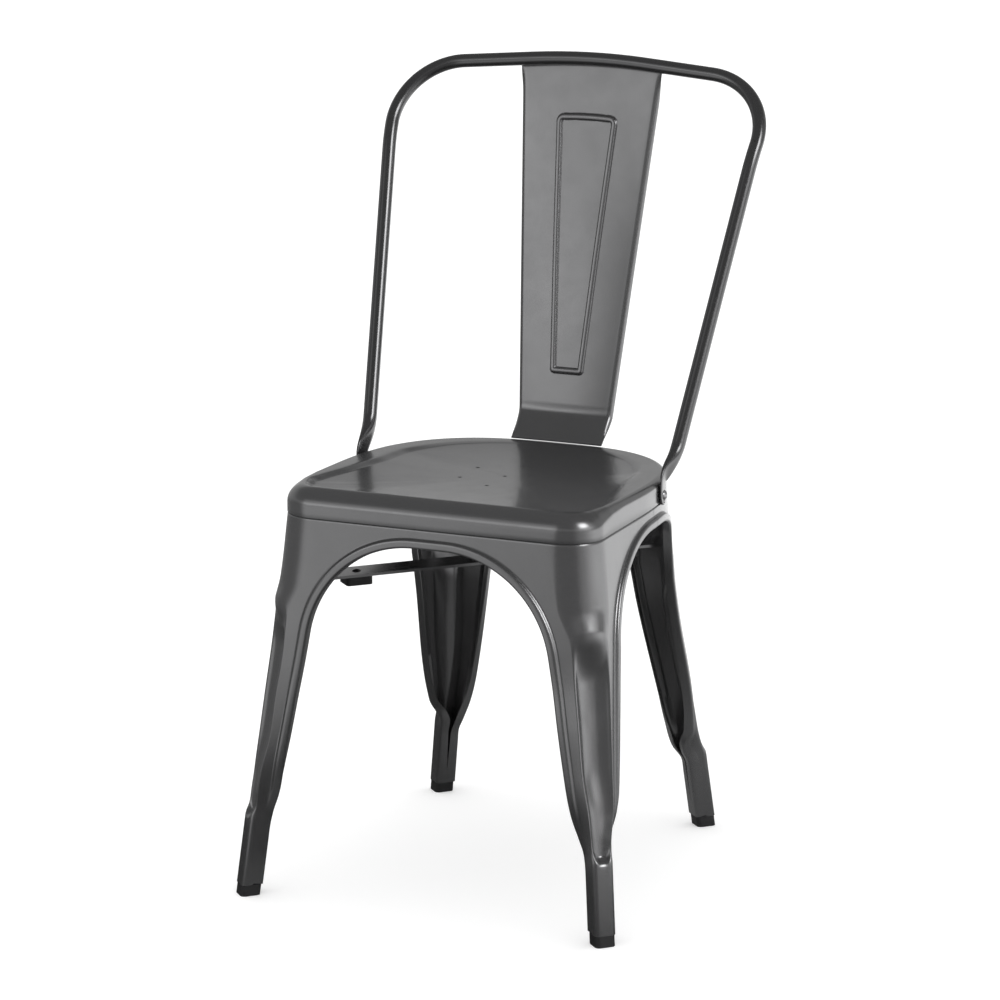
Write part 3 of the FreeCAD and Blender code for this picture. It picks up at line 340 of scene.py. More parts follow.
legFacts = {
    "front": {
        # Middle of the leg's end at the foot, and its lean per millimetre up
        "end": (201.0, 203.7, 0.094, 0.118),
        # Height, then x and y of both ridges of the flute, then the turn of both wings
        "ridges": [(409.0, 137.0, 182.05, 176.4, 142.55, 0.0, 0.0), (345.0, 143.6, 186.0, 183.2, 146.4, 0.0, 0.0),
                   (304.0, 160.4, 188.5, 188.0, 157.9, 0.0, 0.0), (262.0, 165.1, 191.1, 192.2, 162.7, 0.045, 0.045),
                   (220.0, 171.0, 196.1, 196.4, 168.9, 0.1, 0.1), (177.0, 176.3, 199.9, 200.4, 175.1, 0.17, 0.17),
                   (134.0, 186.0, 205.0, 204.4, 181.5, 0.38, 0.36), (106.0, 189.4, 206.4, 205.4, 189.4, 0.7, 0.7)],
        # Edge of the opening on the first wing and on the side wing: height, distance from the middle
        "edgeA": [(291.0, 135.2), (143.3, 161.5), (122.0, 166.2), (107.6, 170.4), (90.0, 176.0)],
        "edgeC": [(304.0, 129.6), (262.0, 138.0), (220.0, 146.3), (177.0, 154.5), (134.0, 162.5), (104.0, 172.0)],
        "arcA": (17.1, 120.0),
        "arcC": (14.2, 120.0),
        "archTop": 390.0,
        # Bulge of the corner between its ridges, before the flute: height, bulge
        "convex": [(62.0, 0.0), (100.0, 0.5), (290.0, 8.5), (345.0, 11.6), (409.0, 11.6)],
    },
    "rear": {
        "end": (158.7, 203.7, 0.116, 0.0875),
        "ridges": [(409.0, 106.6, 151.0, 153.6, 95.0, 0.0, 0.0), (345.0, 113.0, 163.0, 148.0, 128.0, -0.02, -0.2),
                   (304.0, 117.6, 173.5, 145.8, 142.5, -0.02, -0.24), (262.0, 121.5, 178.8, 147.6, 151.3, 0.02, -0.23),
                   (189.0, 129.0, 193.6, 153.2, 169.4, 0.28, -0.21), (118.0, 141.4, 206.0, 157.6, 188.6, 0.62, 0.02)],
        "edgeA": [(302.0, 82.6), (253.0, 90.6), (161.0, 108.0), (116.0, 118.0), (92.0, 126.0)],
        "edgeC": [(302.0, 113.5), (262.0, 125.0), (189.0, 146.9), (118.0, 167.0), (96.0, 173.6)],
        "arcA": (7.5, 70.0),
        "arcC": (14.9, 98.0),
        "archTop": 390.0,
        "convex": [(62.0, 0.0), (100.0, 0.5), (290.0, 7.5), (345.0, 10.0), (380.0, 9.6), (392.0, 8.8), (400.0, 7.3),
                   (409.0, 5.2)],
        # Heights between which the section takes on the seat's outline
        "rounded": (300.0, 405.0),
        # Distances from the arch's middle over which the side wing leaves that outline
        "leaving": (20.0, 95.0),
    },
}
# The closed end of a leg is a square tube with one face square to the diagonal
tube = {"half": 11.75, "round": 5.0, "levels": (86.0, 74.0, 62.0, 38.0, 12.0), "edgeTop": 80.0}
rimFacts = {
    "proud": 3.6, "band": 8.0, "foot": 12.0, "round": 2.6, "fadeLow": 70.0, "fadeHigh": 150.0, "footHeight": 12.0,
    # Depth of the turned-in flange: height, depth
    "flange": [(12.0, 11.75), (26.0, 11.7), (50.0, 10.9), (66.0, 10.4), (110.0, 8.5), (140.0, 6.0)],
}
fluteFacts = {
    "top": 322.0, "topRun": 24.0, "scoop": 60.0, "scoopPower": 0.8,
    "low": 84.0, "lowRun": 34.0, "lowStep": 7.0, "lowPower": 2.4,
    # The corner turns into the square tube between these heights
    "tubeFrom": 84.0, "tubeTo": 106.0,
    # Depth under the chord between the ridges: height, depth
    "depth": [(84.0, 2.5), (104.0, 4.0), (134.0, 5.5), (177.0, 7.0), (235.0, 8.0), (300.0, 7.5)],
}


def addTubeRows(facts):
    # Continues the tables of ridges and edges down the square tube
    endX, endY, leanX, leanY = facts["end"]
    reach = tube["half"] * math.sqrt(2)
    flat = (tube["half"] - tube["round"]) / math.sqrt(2)
    side = tube["half"] / math.sqrt(2)
    for level in tube["levels"]:
        up = level - rimFacts["footHeight"]
        middleX, middleY = endX - leanX * up, endY - leanY * up
        facts["ridges"].append((level, middleX + flat - side, middleY + flat + side,
                                middleX + flat + side, middleY + flat - side, 1.0, 1.0))
        if level < tube["edgeTop"]:
            facts["edgeA"].append((level, middleX - reach))
            facts["edgeC"].append((level, middleY - reach))


for legKind in legFacts.values():
    addTubeRows(legKind)


class Leg:
    def __init__(self, which):
        facts = legFacts[which]
        self.which = which
        self.ridges = smoothTable(facts["ridges"])
        self.edges = {"A": smoothTable(facts["edgeA"]), "C": smoothTable(facts["edgeC"])}
        self.facts = facts

    def rounded(self, z):
        # Share of the seat's outline in a rear leg's section; it fades out below the arches
        return smoothStep(z, *self.facts["rounded"])

    def wingA(self, d, z):
        # Outer surface of the wing that crosses the chair's middle plane: y at a distance d
        r = self.ridges(z)
        y = r[..., 1] - (r[..., 0] - d) * r[..., 4]
        if self.which == "rear":
            down = shared["seam"] - z
            grow = 1 + shared["rearLean"] * down / shared["seatRear"]
            share = self.rounded(z)
            y = y * (1 - share) + outlineY(d / grow) * grow * share
        return y

    def wingC(self, d, z):
        # Outer surface of the side wing: x at a distance d from the plane between the front and rear legs
        r = self.ridges(z)
        x = r[..., 2] - (r[..., 3] - d) * r[..., 5]
        if self.which == "front":
            return x - (shared["seatHalf"] - outlineX(-d))
        down = shared["seam"] - z
        share = self.rounded(z)
        near = 1 - smoothStep(d, *self.facts["leaving"])
        curved = outlineX(d) + shared["sideLean"] * down
        return (x * (1 - share) + curved * share) * (1 - near) + curved * near

    def ends(self, z):
        # The two ridges, on the surface of the wings
        r = self.ridges(z)
        a = np.stack([r[..., 0], self.wingA(r[..., 0], z), z], -1)
        c = np.stack([self.wingC(r[..., 3], z), r[..., 3], z], -1)
        return a, c

    def corner(self, v, z):
        # Corner between the ridges, v from -1 at the first ridge to 1 at the second
        a, c = self.ends(z)
        middle, half = (a + c) / 2, (c - a) / 2
        width = np.linalg.norm(half[..., :2], axis=-1)
        normal = np.stack([-half[..., 1], half[..., 0], np.zeros_like(z)], -1) / width[..., None]
        f = fluteFacts
        # Rounded square below the flute
        flatShare = (tube["half"] - tube["round"]) / tube["half"]
        turn = np.clip((1 - np.abs(v)) / (1 - flatShare), 0.0, 1.0) * math.pi / 2
        turned = flatShare + (1 - flatShare) * np.cos(turn)
        tubeAcross = np.sign(v) * np.where(np.abs(v) > flatShare, turned, np.abs(v))
        tubeHeight = tube["round"] * np.sin(turn)
        share = 1 - smoothStep(z, f["tubeFrom"], f["tubeTo"])
        across = v * (1 - share) + tubeAcross * share
        height = tableAt(z, self.facts["convex"]) * (1 - v**2) * (1 - share) + tubeHeight * share
        # Flute pressed into the corner, with rounded ends
        upper = np.clip((z - (f["top"] - f["topRun"])) / f["topRun"], 0.0, 1.0)
        lower = np.clip(((f["low"] + f["lowRun"]) - z) / f["lowRun"], 0.0, 1.0)
        wide = np.sqrt(np.clip(1 - upper**2, 0.0, 1.0)) * np.sqrt(np.clip(1 - lower**f["lowPower"], 0.0, 1.0))
        inside = np.clip(1 - (v / np.maximum(wide, 1e-3)) ** 2, 0.0, 1.0)
        run = smoothStep(f["top"] - z, 0.0, f["scoop"]) ** f["scoopPower"]
        run = run * smoothStep(z - f["low"], 0.0, f["lowStep"])
        # Steep walls at the ridges, then a round bottom
        steep = (0.45 + 0.55 * np.minimum(1.0, inside * 6.0)) * np.minimum(1.0, inside * 3.0) ** 0.5
        height = height - (height + tableAt(z, f["depth"]) * inside) * run * steep
        return middle + half * across[..., None] + normal * height[..., None]

    def edgePath(self, side):
        # Edge of the opening as (distance, height), from the middle of the arch to the foot
        centre, radius = self.facts["arc" + side]
        top = self.facts["archTop"]
        foot = rimFacts["footHeight"]
        join = max(row[0] for row in self.facts["edge" + side])

        def edgeAt(z):
            return float(self.edges[side](np.array([z]))[0, 0])

        turnEnd = math.asin(np.clip((join - (top - radius)) / radius, -1, 1))
        crown = [(d, top) for d in np.linspace(0, centre, 6)[:-1]]
        turns = np.linspace(math.pi / 2, turnEnd, 44)
        arc = [(centre + radius * math.cos(t), top - radius + radius * math.sin(t)) for t in turns]
        shift = edgeAt(join) - arc[-1][0]
        arc = [(d + shift * (k / (len(arc) - 1)) ** 2, z) for k, (d, z) in enumerate(arc)]
        step = 3.0
        heights = list(np.arange(join - step, foot + 1.0, -step)) + [foot]
        return np.array(crown + arc + [(edgeAt(z), z) for z in heights])

    def onWing(self, side, d, z):
        if side == "A":
            return np.stack([d, self.wingA(d, z), z], -1)
        return np.stack([self.wingC(d, z), d, z], -1)

    def normalAt(self, side, d, z):
        # The wing's outward normal
        tiny = 0.5
        across = self.onWing(side, d + tiny, z) - self.onWing(side, d - tiny, z)
        along = self.onWing(side, d, z + tiny) - self.onWing(side, d, z - tiny)
        normal = np.cross(along, across) if side == "A" else np.cross(across, along)
        return normal / np.linalg.norm(normal, axis=-1, keepdims=True)

    def rimFrame(self, side):
        # The edge's path, the wing's normal along it and the direction into the sheet
        path = self.edgePath(side)
        d, z = path[:, 0], path[:, 1]
        base = self.onWing(side, d, z)
        normal = self.normalAt(side, d, z)
        tangent = np.gradient(base, axis=0)
        tangent[0] = (1, 0, 0) if side == "A" else (0, 1, 0)
        tangent /= np.linalg.norm(tangent, axis=1, keepdims=True)
        into = np.cross(tangent, normal) if side == "A" else np.cross(normal, tangent)
        into /= np.linalg.norm(into, axis=1, keepdims=True)
        into[0, 0 if side == "A" else 1] = 0.0
        return path, normal, into

    def rimProfile(self, z):
        # Distances into the sheet and heights over it, from the sheet round to the turned-in flange
        r = rimFacts
        fade = float(smoothStep(z, r["fadeLow"], r["fadeHigh"]))
        proud = r["proud"] * fade
        depth = float(tableAt(z, r["flange"]))
        turns = np.linspace(0, math.pi / 2, 6)
        corner = [(r["round"] * (1 - math.sin(t)), proud - r["round"] * (1 - math.cos(t))) for t in turns]
        step = [(r["foot"] + 1.0, -0.6), (r["foot"], -0.03)]
        step += [(r["band"] + (r["foot"] - 1.0 - r["band"]) * (1 - s), proud * s * s * (3 - 2 * s))
                 for s in np.linspace(0, 1, 6)]
        wall = shared["sheet"]
        outer = step + [(5.5, proud)] + corner + [(0.0, -depth * 0.5), (0.0, -depth)]
        inner = [(wall, -depth), (wall, -depth * 0.5), (wall, proud - r["round"]),
                 (r["round"] + wall * 0.5, proud - wall), (r["band"] + 0.5, proud - wall),
                 (r["foot"] - 0.5, -wall), (r["foot"] + 1.0, -wall)]
        return np.array(outer + inner)

    def rim(self, side):
        # The section follows the curved wing; the turned-in flange is square to it
        path, normal, into = self.rimFrame(side)
        place = 0 if side == "A" else 1
        profiles = np.array([self.rimProfile(z) for z in path[:, 1]])
        along, height = profiles[..., 0], profiles[..., 1]
        d = path[:, :1] + into[:, place:place + 1] * along
        z = path[:, 1:] + into[:, 2:3] * along
        d[0] = 0.0
        grid = self.onWing(side, d, z)
        flange = smoothStep(along, 1.6, 6.0)[..., None]
        turned = self.normalAt(side, d, z) * flange + normal[:, None, :] * (1 - flange)
        grid = grid + turned * height[..., None]
        grid[0, :, place] = 0.0
        return grid

    def boundary(self, side):
        # Where the flat sheet meets the rim: distance against height
        path, _, into = self.rimFrame(side)
        place = 0 if side == "A" else 1
        reach = rimFacts["foot"] - 0.1
        d = path[:, 0] + into[:, place] * reach
        z = path[:, 1] + into[:, 2] * reach
        order = np.argsort(z)
        return z[order], d[order]

    def rows(self):
        # Heights of the sheet's rows, dense over the arch and at both ends of the flute
        top = self.facts["archTop"] + rimFacts["foot"]
        levels = [shared["seam"], shared["seam"] - 2.0, top + 0.05]
        levels += [top - 0.12 * k**2 for k in range(1, 14)]
        levels += list(np.arange(levels[-1] - 3.5, 346.0, -3.5))
        levels += list(np.arange(345.0, 280.0, -1.6))
        levels += list(np.arange(279.0, 116.0, -4.0))
        levels += list(np.arange(115.0, 84.0, -1.5))
        levels += list(np.arange(82.0, rimFacts["footHeight"], -4.0)) + [rimFacts["footHeight"]]
        return np.array(levels)

    def skin(self, lift=0.0):
        # Rows of the sheet; lift moves every point up along the surface, for the normals
        levels = self.rows()
        zA, dA = self.boundary("A")
        zC, dC = self.boundary("C")
        top = self.facts["archTop"] + rimFacts["foot"]
        startA = np.where(levels > top, 0.0, np.interp(levels, zA, dA))
        startC = np.where(levels > top, 0.0, np.interp(levels, zC, dC))
        r = self.ridges(levels)
        tA = np.concatenate([np.linspace(0, 0.72, 14), np.linspace(0.72, 1, 12)[1:]])
        grids = []
        for start, end, side in ((startA, r[:, 0], "A"), (startC, r[:, 3], "C")):
            end = np.maximum(end, start + 0.4)
            d = start[:, None] + (end - start)[:, None] * tA[None, :]
            z = np.repeat(levels[:, None], len(tA), axis=1)
            grids.append(self.onWing(side, d, z + lift))
        v = np.linspace(-1, 1, 57)
        corner = self.corner(np.repeat(v[None, :], len(levels), axis=0),
                             np.repeat(levels[:, None], len(v), axis=1) + lift)
        grid = np.concatenate([grids[0][:, :-1], corner, grids[1][:, ::-1][:, 1:]], axis=1)
        # Round the ridges a little; the columns near the rims stay
        first, last = 16, grid.shape[1] - 17
        for _ in range(5):
            middle = (grid[:, first - 1:last - 1] + 2 * grid[:, first:last] + grid[:, first + 1:last + 1]) / 4
            grid[:, first:last] = middle
        return grid

    def build(self):
        shell = Shell()
        outer = self.skin()
        normal = np.cross(np.gradient(outer, axis=1), self.skin(0.4) - self.skin(-0.4))
        normal /= np.maximum(np.linalg.norm(normal, axis=2, keepdims=True), 1e-9)
        if np.mean(np.sum(normal[:, :, :2] * outer[:, :, :2], axis=2)) < 0:
            normal = -normal
        inner = outer - normal * shared["sheet"]
        shell.add(outer)
        shell.add(inner, flip=True)
        # Top edge of the sheet, slightly rounded
        lift = np.array([0, 0, 0.5])
        edge = np.array([outer[0], outer[0] * 0.75 + inner[0] * 0.25 + lift,
                         outer[0] * 0.25 + inner[0] * 0.75 + lift, inner[0]])
        shell.add(edge, flip=True)
        shell.add(self.rim("A"), flip=True, closed=True)
        shell.add(self.rim("C"), closed=True)
        return shell.done()


def fixNormals(piece, sharpAngle):
    mesh = bmesh.new()
    mesh.from_mesh(piece.data)
    bmesh.ops.remove_doubles(mesh, verts=mesh.verts, dist=0.00002)
    bmesh.ops.recalc_face_normals(mesh, faces=mesh.faces)
    mesh.to_mesh(piece.data)
    mesh.free()
    piece.data.polygons.foreach_set("use_smooth", [True] * len(piece.data.polygons))
    piece.data.set_sharp_from_angle(angle=math.radians(sharpAngle))
    piece.data.update()


def addLegs():
    for which in ("front", "rear"):
        points, faces = Leg(which).build()
        for side in ("left", "right"):
            placed, turned = mirrored(points, faces, side == "left", which == "front")
            piece = addPiece(which.capitalize() + side.capitalize() + "Leg", placed, turned,
                             "gunmetal_paint", "%s_%s_leg" % (which, side))
            fixNormals(piece, 50)


addLegs()
print("legs done")

# Seat: rings from the tucked skirt over the rolled rim to the middle of the dish

seatFacts = {
    "tuck": 1.8, "tuckLow": 396.0, "step": 408.7, "sheet": 1.3,
    # Small round between the step and the side: how far in, height over the step
    "lowRound": [(1.1, 0.7), (0.35, 1.2), (0.0, 2.2)],
    # Radius of the roll along the side: place behind the middle, radius
    "roll": [(-183.0, 19.5), (-150.0, 19.0), (-120.0, 11.0), (-90.0, 8.5), (60.0, 8.5), (140.0, 12.0),
             (170.0, 12.0)],
    # Inner edge of the rim, from the front middle round to the rear middle
    "crease": [(0.0, -162.6), (80.0, -162.6), (140.0, -162.0), (156.0, -158.0), (164.0, -147.0), (164.6, -128.0),
               (162.0, -106.0), (154.0, -60.0), (150.0, -30.0), (143.5, 10.0), (141.5, 36.0), (139.0, 56.0),
               (128.0, 84.0), (101.0, 120.0), (63.0, 144.0), (30.0, 152.0), (0.0, 154.0)],
    "middle": (0.0, 13.5), "middleHeight": 425.3, "fall": 0.4, "power": 2.5, "wallRun": 8.5,
    # Drop of the dish's wall: place behind the middle, drop
    "wall": [(-160.0, 6.0), (-130.0, 4.6), (-20.0, 3.6), (60.0, 3.0), (110.0, 1.6), (150.0, 0.8)],
    # Rounds of smoothing of the crease: everywhere, then only towards the rear between two places
    "softenAll": 4, "softenRear": 60, "softFrom": 70.0, "softTo": 150.0,
    "holeRing": 48.0, "holeSize": 4.6, "holeLow": 415.0, "holeHigh": 445.0,
}


def seatOutline():
    # Right half from the rear middle to the front middle, then back along the left half
    s = shared
    runX, runY = s["seatHalf"] - s["rearFlat"], s["seatRear"] - s["curveStart"]
    power = 2 / s["curvePower"]
    turn = np.linspace(math.pi / 2, 0, 70)
    c, v = np.maximum(np.cos(turn), 1e-6), np.maximum(np.sin(turn), 1e-6)
    rear = np.stack([s["rearFlat"] + runX * c**power, s["curveStart"] + runY * v**power], 1)
    rear[0, 0] = 0.0
    rearNormal = np.stack([c**(2 - power) / runX, v**(2 - power) / runY], 1)
    rearNormal[0, 0] = 0.0
    sideY = np.linspace(s["curveStart"], -(s["seatFront"] - s["seatCorner"]), 24)[1:-1]
    side = np.stack([np.full_like(sideY, s["seatHalf"]), sideY], 1)
    angle = np.linspace(0, -math.pi / 2, 30)
    cornerNormal = np.stack([np.cos(angle), np.sin(angle)], 1)
    centre = np.array([s["seatHalf"] - s["seatCorner"], -(s["seatFront"] - s["seatCorner"])])
    corner = centre + cornerNormal * s["seatCorner"]
    frontX = np.linspace(centre[0], 0, 26)[1:]
    front = np.stack([frontX, np.full_like(frontX, -s["seatFront"])], 1)
    points = np.concatenate([rear, side, corner, front])
    normals = np.concatenate([rearNormal, np.tile([1.0, 0.0], (len(side), 1)), cornerNormal,
                              np.tile([0.0, -1.0], (len(front), 1))])
    normals /= np.linalg.norm(normals, axis=1, keepdims=True)
    flip = np.array([-1.0, 1.0])
    points = np.concatenate([points, (points[1:-1] * flip)[::-1]])
    normals = np.concatenate([normals, (normals[1:-1] * flip)[::-1]])
    return points, normals


def rimHeight(y):
    share = (y + shared["seatFront"]) / (shared["seatRear"] + shared["seatFront"])
    return shared["frontTop"] + (shared["rearTop"] - shared["frontTop"]) * share


def seatRings():
    f = seatFacts
    points, normals = seatOutline()
    radius = tableAt(points[:, 1], f["roll"])
    rim = rimHeight(points[:, 1])
    rings = []
    low = [(f["tuck"], f["tuckLow"]), (f["tuck"], f["step"])]
    for inset, height in low + [(inset, f["step"] + over) for inset, over in f["lowRound"]]:
        rings.append((points - normals * inset, np.full(len(points), height)))
    wallLow = f["step"] + f["lowRound"][-1][1]
    rings.append((points, wallLow + (rim - radius - wallLow) * 0.5))
    for turn in np.linspace(0, math.pi / 2, 16):
        inset = (radius * (1 - math.cos(turn)))[:, None]
        rings.append((points - normals * inset, rim - radius + radius * math.sin(turn)))
    rollEnd = len(rings) - 1
    # Matching points on the crease, at the same direction from the middle
    crease = np.array(f["crease"])
    creaseTurn = np.arctan2(crease[:, 0], -crease[:, 1])
    creaseReach = np.linalg.norm(crease, axis=1)
    ends = points - normals * radius[:, None]
    turnOf = np.arctan2(np.abs(ends[:, 0]), -ends[:, 1])
    reach = smoothTable(np.column_stack([creaseTurn, creaseReach]))(turnOf)[:, 0]
    endReach = np.linalg.norm(ends, axis=1)
    reach = np.minimum(reach, endReach - 0.8)
    creases = ends * (reach / endReach)[:, None]
    rimIn = rimHeight(creases[:, 1]) - f["fall"]
    for share in (0.25, 0.5, 0.75, 1.0):
        plan = ends * (1 - share) + creases * share
        rings.append((plan, rim * (1 - share) + rimIn * share))
    # Wall of the dish, then its shallow bowl
    middle = np.array(f["middle"])
    inward = middle - creases
    reachIn = np.linalg.norm(inward, axis=1, keepdims=True)
    feet = creases + inward / reachIn * f["wallRun"]
    floorHeight = rimIn - tableAt(creases[:, 1], f["wall"])
    for share in np.linspace(0, 1, 9)[1:]:
        rings.append((creases * (1 - share) + feet * share, rimIn * (1 - share) + floorHeight * share))
    for step in np.linspace(0, 1, 36)[1:]:
        share = step**1.5
        depth = (floorHeight - f["middleHeight"]) * (1 - share) ** f["power"]
        rings.append((feet * (1 - share) + middle * share, f["middleHeight"] + depth))
    grid = np.array([np.column_stack([plan, height]) for plan, height in rings])
    # Rounded crease; the rear one is much softer
    soft = smoothStep(points[:, 1], f["softFrom"], f["softTo"])[None, :]
    for turn in range(f["softenRear"]):
        height = grid[:, :, 2]
        blurred = height.copy()
        blurred[rollEnd:-1] = (height[rollEnd - 1:-2] + height[rollEnd:-1] * 2 + height[rollEnd + 1:]) / 4
        share = 1.0 if turn < f["softenAll"] else soft
        grid[:, :, 2] = height * (1 - share) + blurred * share
    return grid


def cutHoles(piece, centres, radius, low, high):
    # Round holes through a sheet
    cutter = bmesh.new()
    sides = 28
    turns = [2 * math.pi * k / sides for k in range(sides)]
    for x, y in centres:
        ends = []
        for z in (low, high):
            ends.append([cutter.verts.new(((x + radius * math.cos(turn)) * mm,
                                           (y + radius * math.sin(turn) + shiftY) * mm, z * mm)) for turn in turns])
        cutter.faces.new(ends[0][::-1])
        cutter.faces.new(ends[1])
        for k in range(sides):
            after = (k + 1) % sides
            cutter.faces.new((ends[0][k], ends[0][after], ends[1][after], ends[1][k]))
    mesh = bpy.data.meshes.new("drill")
    cutter.to_mesh(mesh)
    cutter.free()
    drill = bpy.data.objects.new("drill", mesh)
    bpy.context.scene.collection.objects.link(drill)
    boolean = piece.modifiers.new("holes", "BOOLEAN")
    boolean.operation = "DIFFERENCE"
    boolean.object = drill
    applyModifiers(piece)
    bpy.data.objects.remove(drill)


def applyModifiers(piece):
    graph = bpy.context.evaluated_depsgraph_get()
    mesh = bpy.data.meshes.new_from_object(piece.evaluated_get(graph))
    piece.modifiers.clear()
    piece.data = mesh


def thicken(piece, thickness):
    solid = piece.modifiers.new("sheet", "SOLIDIFY")
    solid.thickness = thickness * mm
    solid.offset = -1.0
    applyModifiers(piece)


def addSeat():
    shell = Shell()
    shell.add(seatRings(), closed=True)
    points, faces = shell.done()
    piece = addPiece("DishedPan", points, faces, "gunmetal_paint", "seat_pan")
    fixNormals(piece, 90)
    thicken(piece, seatFacts["sheet"])
    ring = seatFacts["holeRing"]
    places = [seatFacts["middle"]]
    for k in range(6):
        angle = math.radians(30 + 60 * k)
        places.append((ring * math.cos(angle), seatFacts["middle"][1] + ring * math.sin(angle)))
    cutHoles(piece, places, seatFacts["holeSize"] / 2, seatFacts["holeLow"], seatFacts["holeHigh"])
    fixNormals(piece, 60)


addSeat()
print("seat done")

# Back hoop: a bent tube with both ends pressed flat against the seat

hoopFacts = {
    "radius": 7.5, "low": 468.0, "bend": 756.0, "corner": 828.5, "peak": 845.5, "top": 850.0,
    "half": 179.7, "back": 61.6, "widen": 0.112, "lean": 0.437, "bends": (160.0, 75.0, 700.0, 75.0, 160.0),
    "tabPlace": 29.0, "tabTop": 431.0, "tabLow": 418.5, "tabHalf": 11.0, "tabThick": 1.7, "gap": 0.3,
    # Handles of the curve from the tube to the tab, and how square the tab's section is
    "tubeHandle": 25.0, "tabHandle": 13.0, "square": 3.6,
}
splatFacts = {
    "top": 842.0, "bend": 466.0, "foot": 181.9, "lean": 0.2, "low": 431.0, "sheet": 1.5,
    "halfTop": 83.5, "halfLow": 53.2, "roll": 6.0, "crown": 3.2,
    "panelTop": 783.0, "panelLow": 503.0, "panelHalfTop": 36.3, "panelHalfLow": 19.4, "panelRound": 9.0,
    "panelRoundLow": 4.5, "panelLeast": 13.0, "panelBow": 1.6, "bead": 6.8, "beadHeight": 3.0,
    # From the knee down to the lip on the seat's rear rim: place behind the middle, height
    "knee": [(182.7, 470.0), (181.9, 466.0), (180.6, 461.6), (178.3, 457.8), (174.6, 453.2), (170.4, 448.2),
             (166.4, 443.4), (163.0, 439.4), (160.4, 436.4), (158.6, 434.7), (157.0, 433.8)],
}


def splatY(z):
    return splatFacts["foot"] + splatFacts["lean"] * (z - splatFacts["bend"])


def hoopCorners():
    h = hoopFacts
    leanAngle = math.atan(splatFacts["lean"])
    crownZ = h["top"] - h["radius"]
    contact = crownZ - h["radius"] * math.sin(leanAngle)
    crownY = splatY(contact) - h["radius"] * math.cos(leanAngle) - 0.1
    bendY = h["back"] + h["lean"] * (h["bend"] - h["low"])
    topLean = (crownY - bendY) / (crownZ - h["bend"])
    right = [np.array([h["half"], h["back"], h["low"]])]
    for level, x in ((h["bend"], h["half"] + h["widen"] * (h["bend"] - h["low"])),
                     (h["corner"], h["half"] + h["widen"] * (h["corner"] - h["low"])), (h["peak"], 0.0)):
        right.append(np.array([x, bendY + topLean * (level - h["bend"]), level]))
    left = [p * np.array([-1, 1, 1]) for p in reversed(right[:-1])]
    return right + left


def roundedPath(corners, radii):
    path = [corners[0]]
    for before, corner, after, radius in zip(corners, corners[1:], corners[2:], radii):
        back = (before - corner) / np.linalg.norm(before - corner)
        ahead = (after - corner) / np.linalg.norm(after - corner)
        halfAngle = math.acos(np.clip(back @ ahead, -1, 1)) / 2
        reach = radius / math.tan(halfAngle)
        start, end = corner + back * reach, corner + ahead * reach
        centre = corner + (back + ahead) / np.linalg.norm(back + ahead) * (radius / math.sin(halfAngle))
        u = (start - centre) / radius
        sweep = math.pi - 2 * halfAngle
        w = end - centre - u * (radius * math.cos(sweep))
        w = w / np.linalg.norm(w)
        steps = max(8, int(math.degrees(sweep) / 2.5))
        gap = np.linalg.norm(start - path[-1])
        extra = int(gap // 25)
        last = path[-1]
        path += [last + (start - last) * k / (extra + 1) for k in range(1, extra + 1)]
        for k in range(steps + 1):
            a = sweep * k / steps
            path.append(centre + radius * (u * math.cos(a) + w * math.sin(a)))
    last = path[-1]
    path += [last + (corners[-1] - last) * k / 12 for k in range(1, 13)]
    return np.array(path)


def sectionPoints(centre, thickWay, wideWay, thick, wide, power, sides=36):
    angle = np.linspace(0, 2 * math.pi, sides, endpoint=False)
    c, s = np.cos(angle), np.sin(angle)
    x = thick * np.sign(c) * np.abs(c) ** (2 / power)
    y = wide * np.sign(s) * np.abs(s) ** (2 / power)
    return centre + x[:, None] * thickWay + y[:, None] * wideWay


def hoopEndRings(start, axis):
    # From the round tube down to the tip of the flat tab, on the right side
    h = hoopFacts
    y = h["tabPlace"]
    slope = float(outlineX(y + 1) - outlineX(y - 1)) / 2
    outward = np.array([1.0, -slope, 0.0]) / math.hypot(1, slope)
    x = float(outlineX(y)) + h["gap"] + h["tabThick"]
    tabTop = np.array([x, y, h["tabTop"]])
    control = [start, start - axis * h["tubeHandle"], tabTop + np.array([0, 0, h["tabHandle"]]), tabTop]
    rings = []
    for t in np.linspace(0, 1, 17):
        s = 1 - t
        centre = s**3 * control[0] + 3 * s * s * t * control[1] + 3 * s * t * t * control[2] + t**3 * control[3]
        way = 3 * (s * s * (control[1] - control[0]) + 2 * s * t * (control[2] - control[1])
                   + t * t * (control[3] - control[2]))
        way = -way / np.linalg.norm(way)
        ease = float(smoothStep(t, 0.0, 0.96))
        thick = h["radius"] + (h["tabThick"] - h["radius"]) * ease
        wide = math.sqrt(2 * h["radius"] ** 2 - thick**2) * (1 - ease) + h["tabHalf"] * ease
        side = outward - way * (outward @ way)
        side /= np.linalg.norm(side)
        rings.append(sectionPoints(centre, side, np.cross(way, side), thick, wide, 2 + (h["square"] - 2) * ease))
    wideWay = np.cross(np.array([0, 0, 1.0]), outward)
    flat = [(level, h["tabHalf"]) for level in (427.0, 423.0, h["tabLow"])]
    for angle in (15, 30, 45, 58, 70, 79, 85, 88.5):
        turn = math.radians(angle)
        flat.append((h["tabLow"] - h["tabHalf"] * math.sin(turn), h["tabHalf"] * math.cos(turn)))
    for level, wide in flat:
        rings.append(sectionPoints(np.array([x, y, level]), outward, wideWay, h["tabThick"], wide, h["square"]))
    return rings[::-1], outward


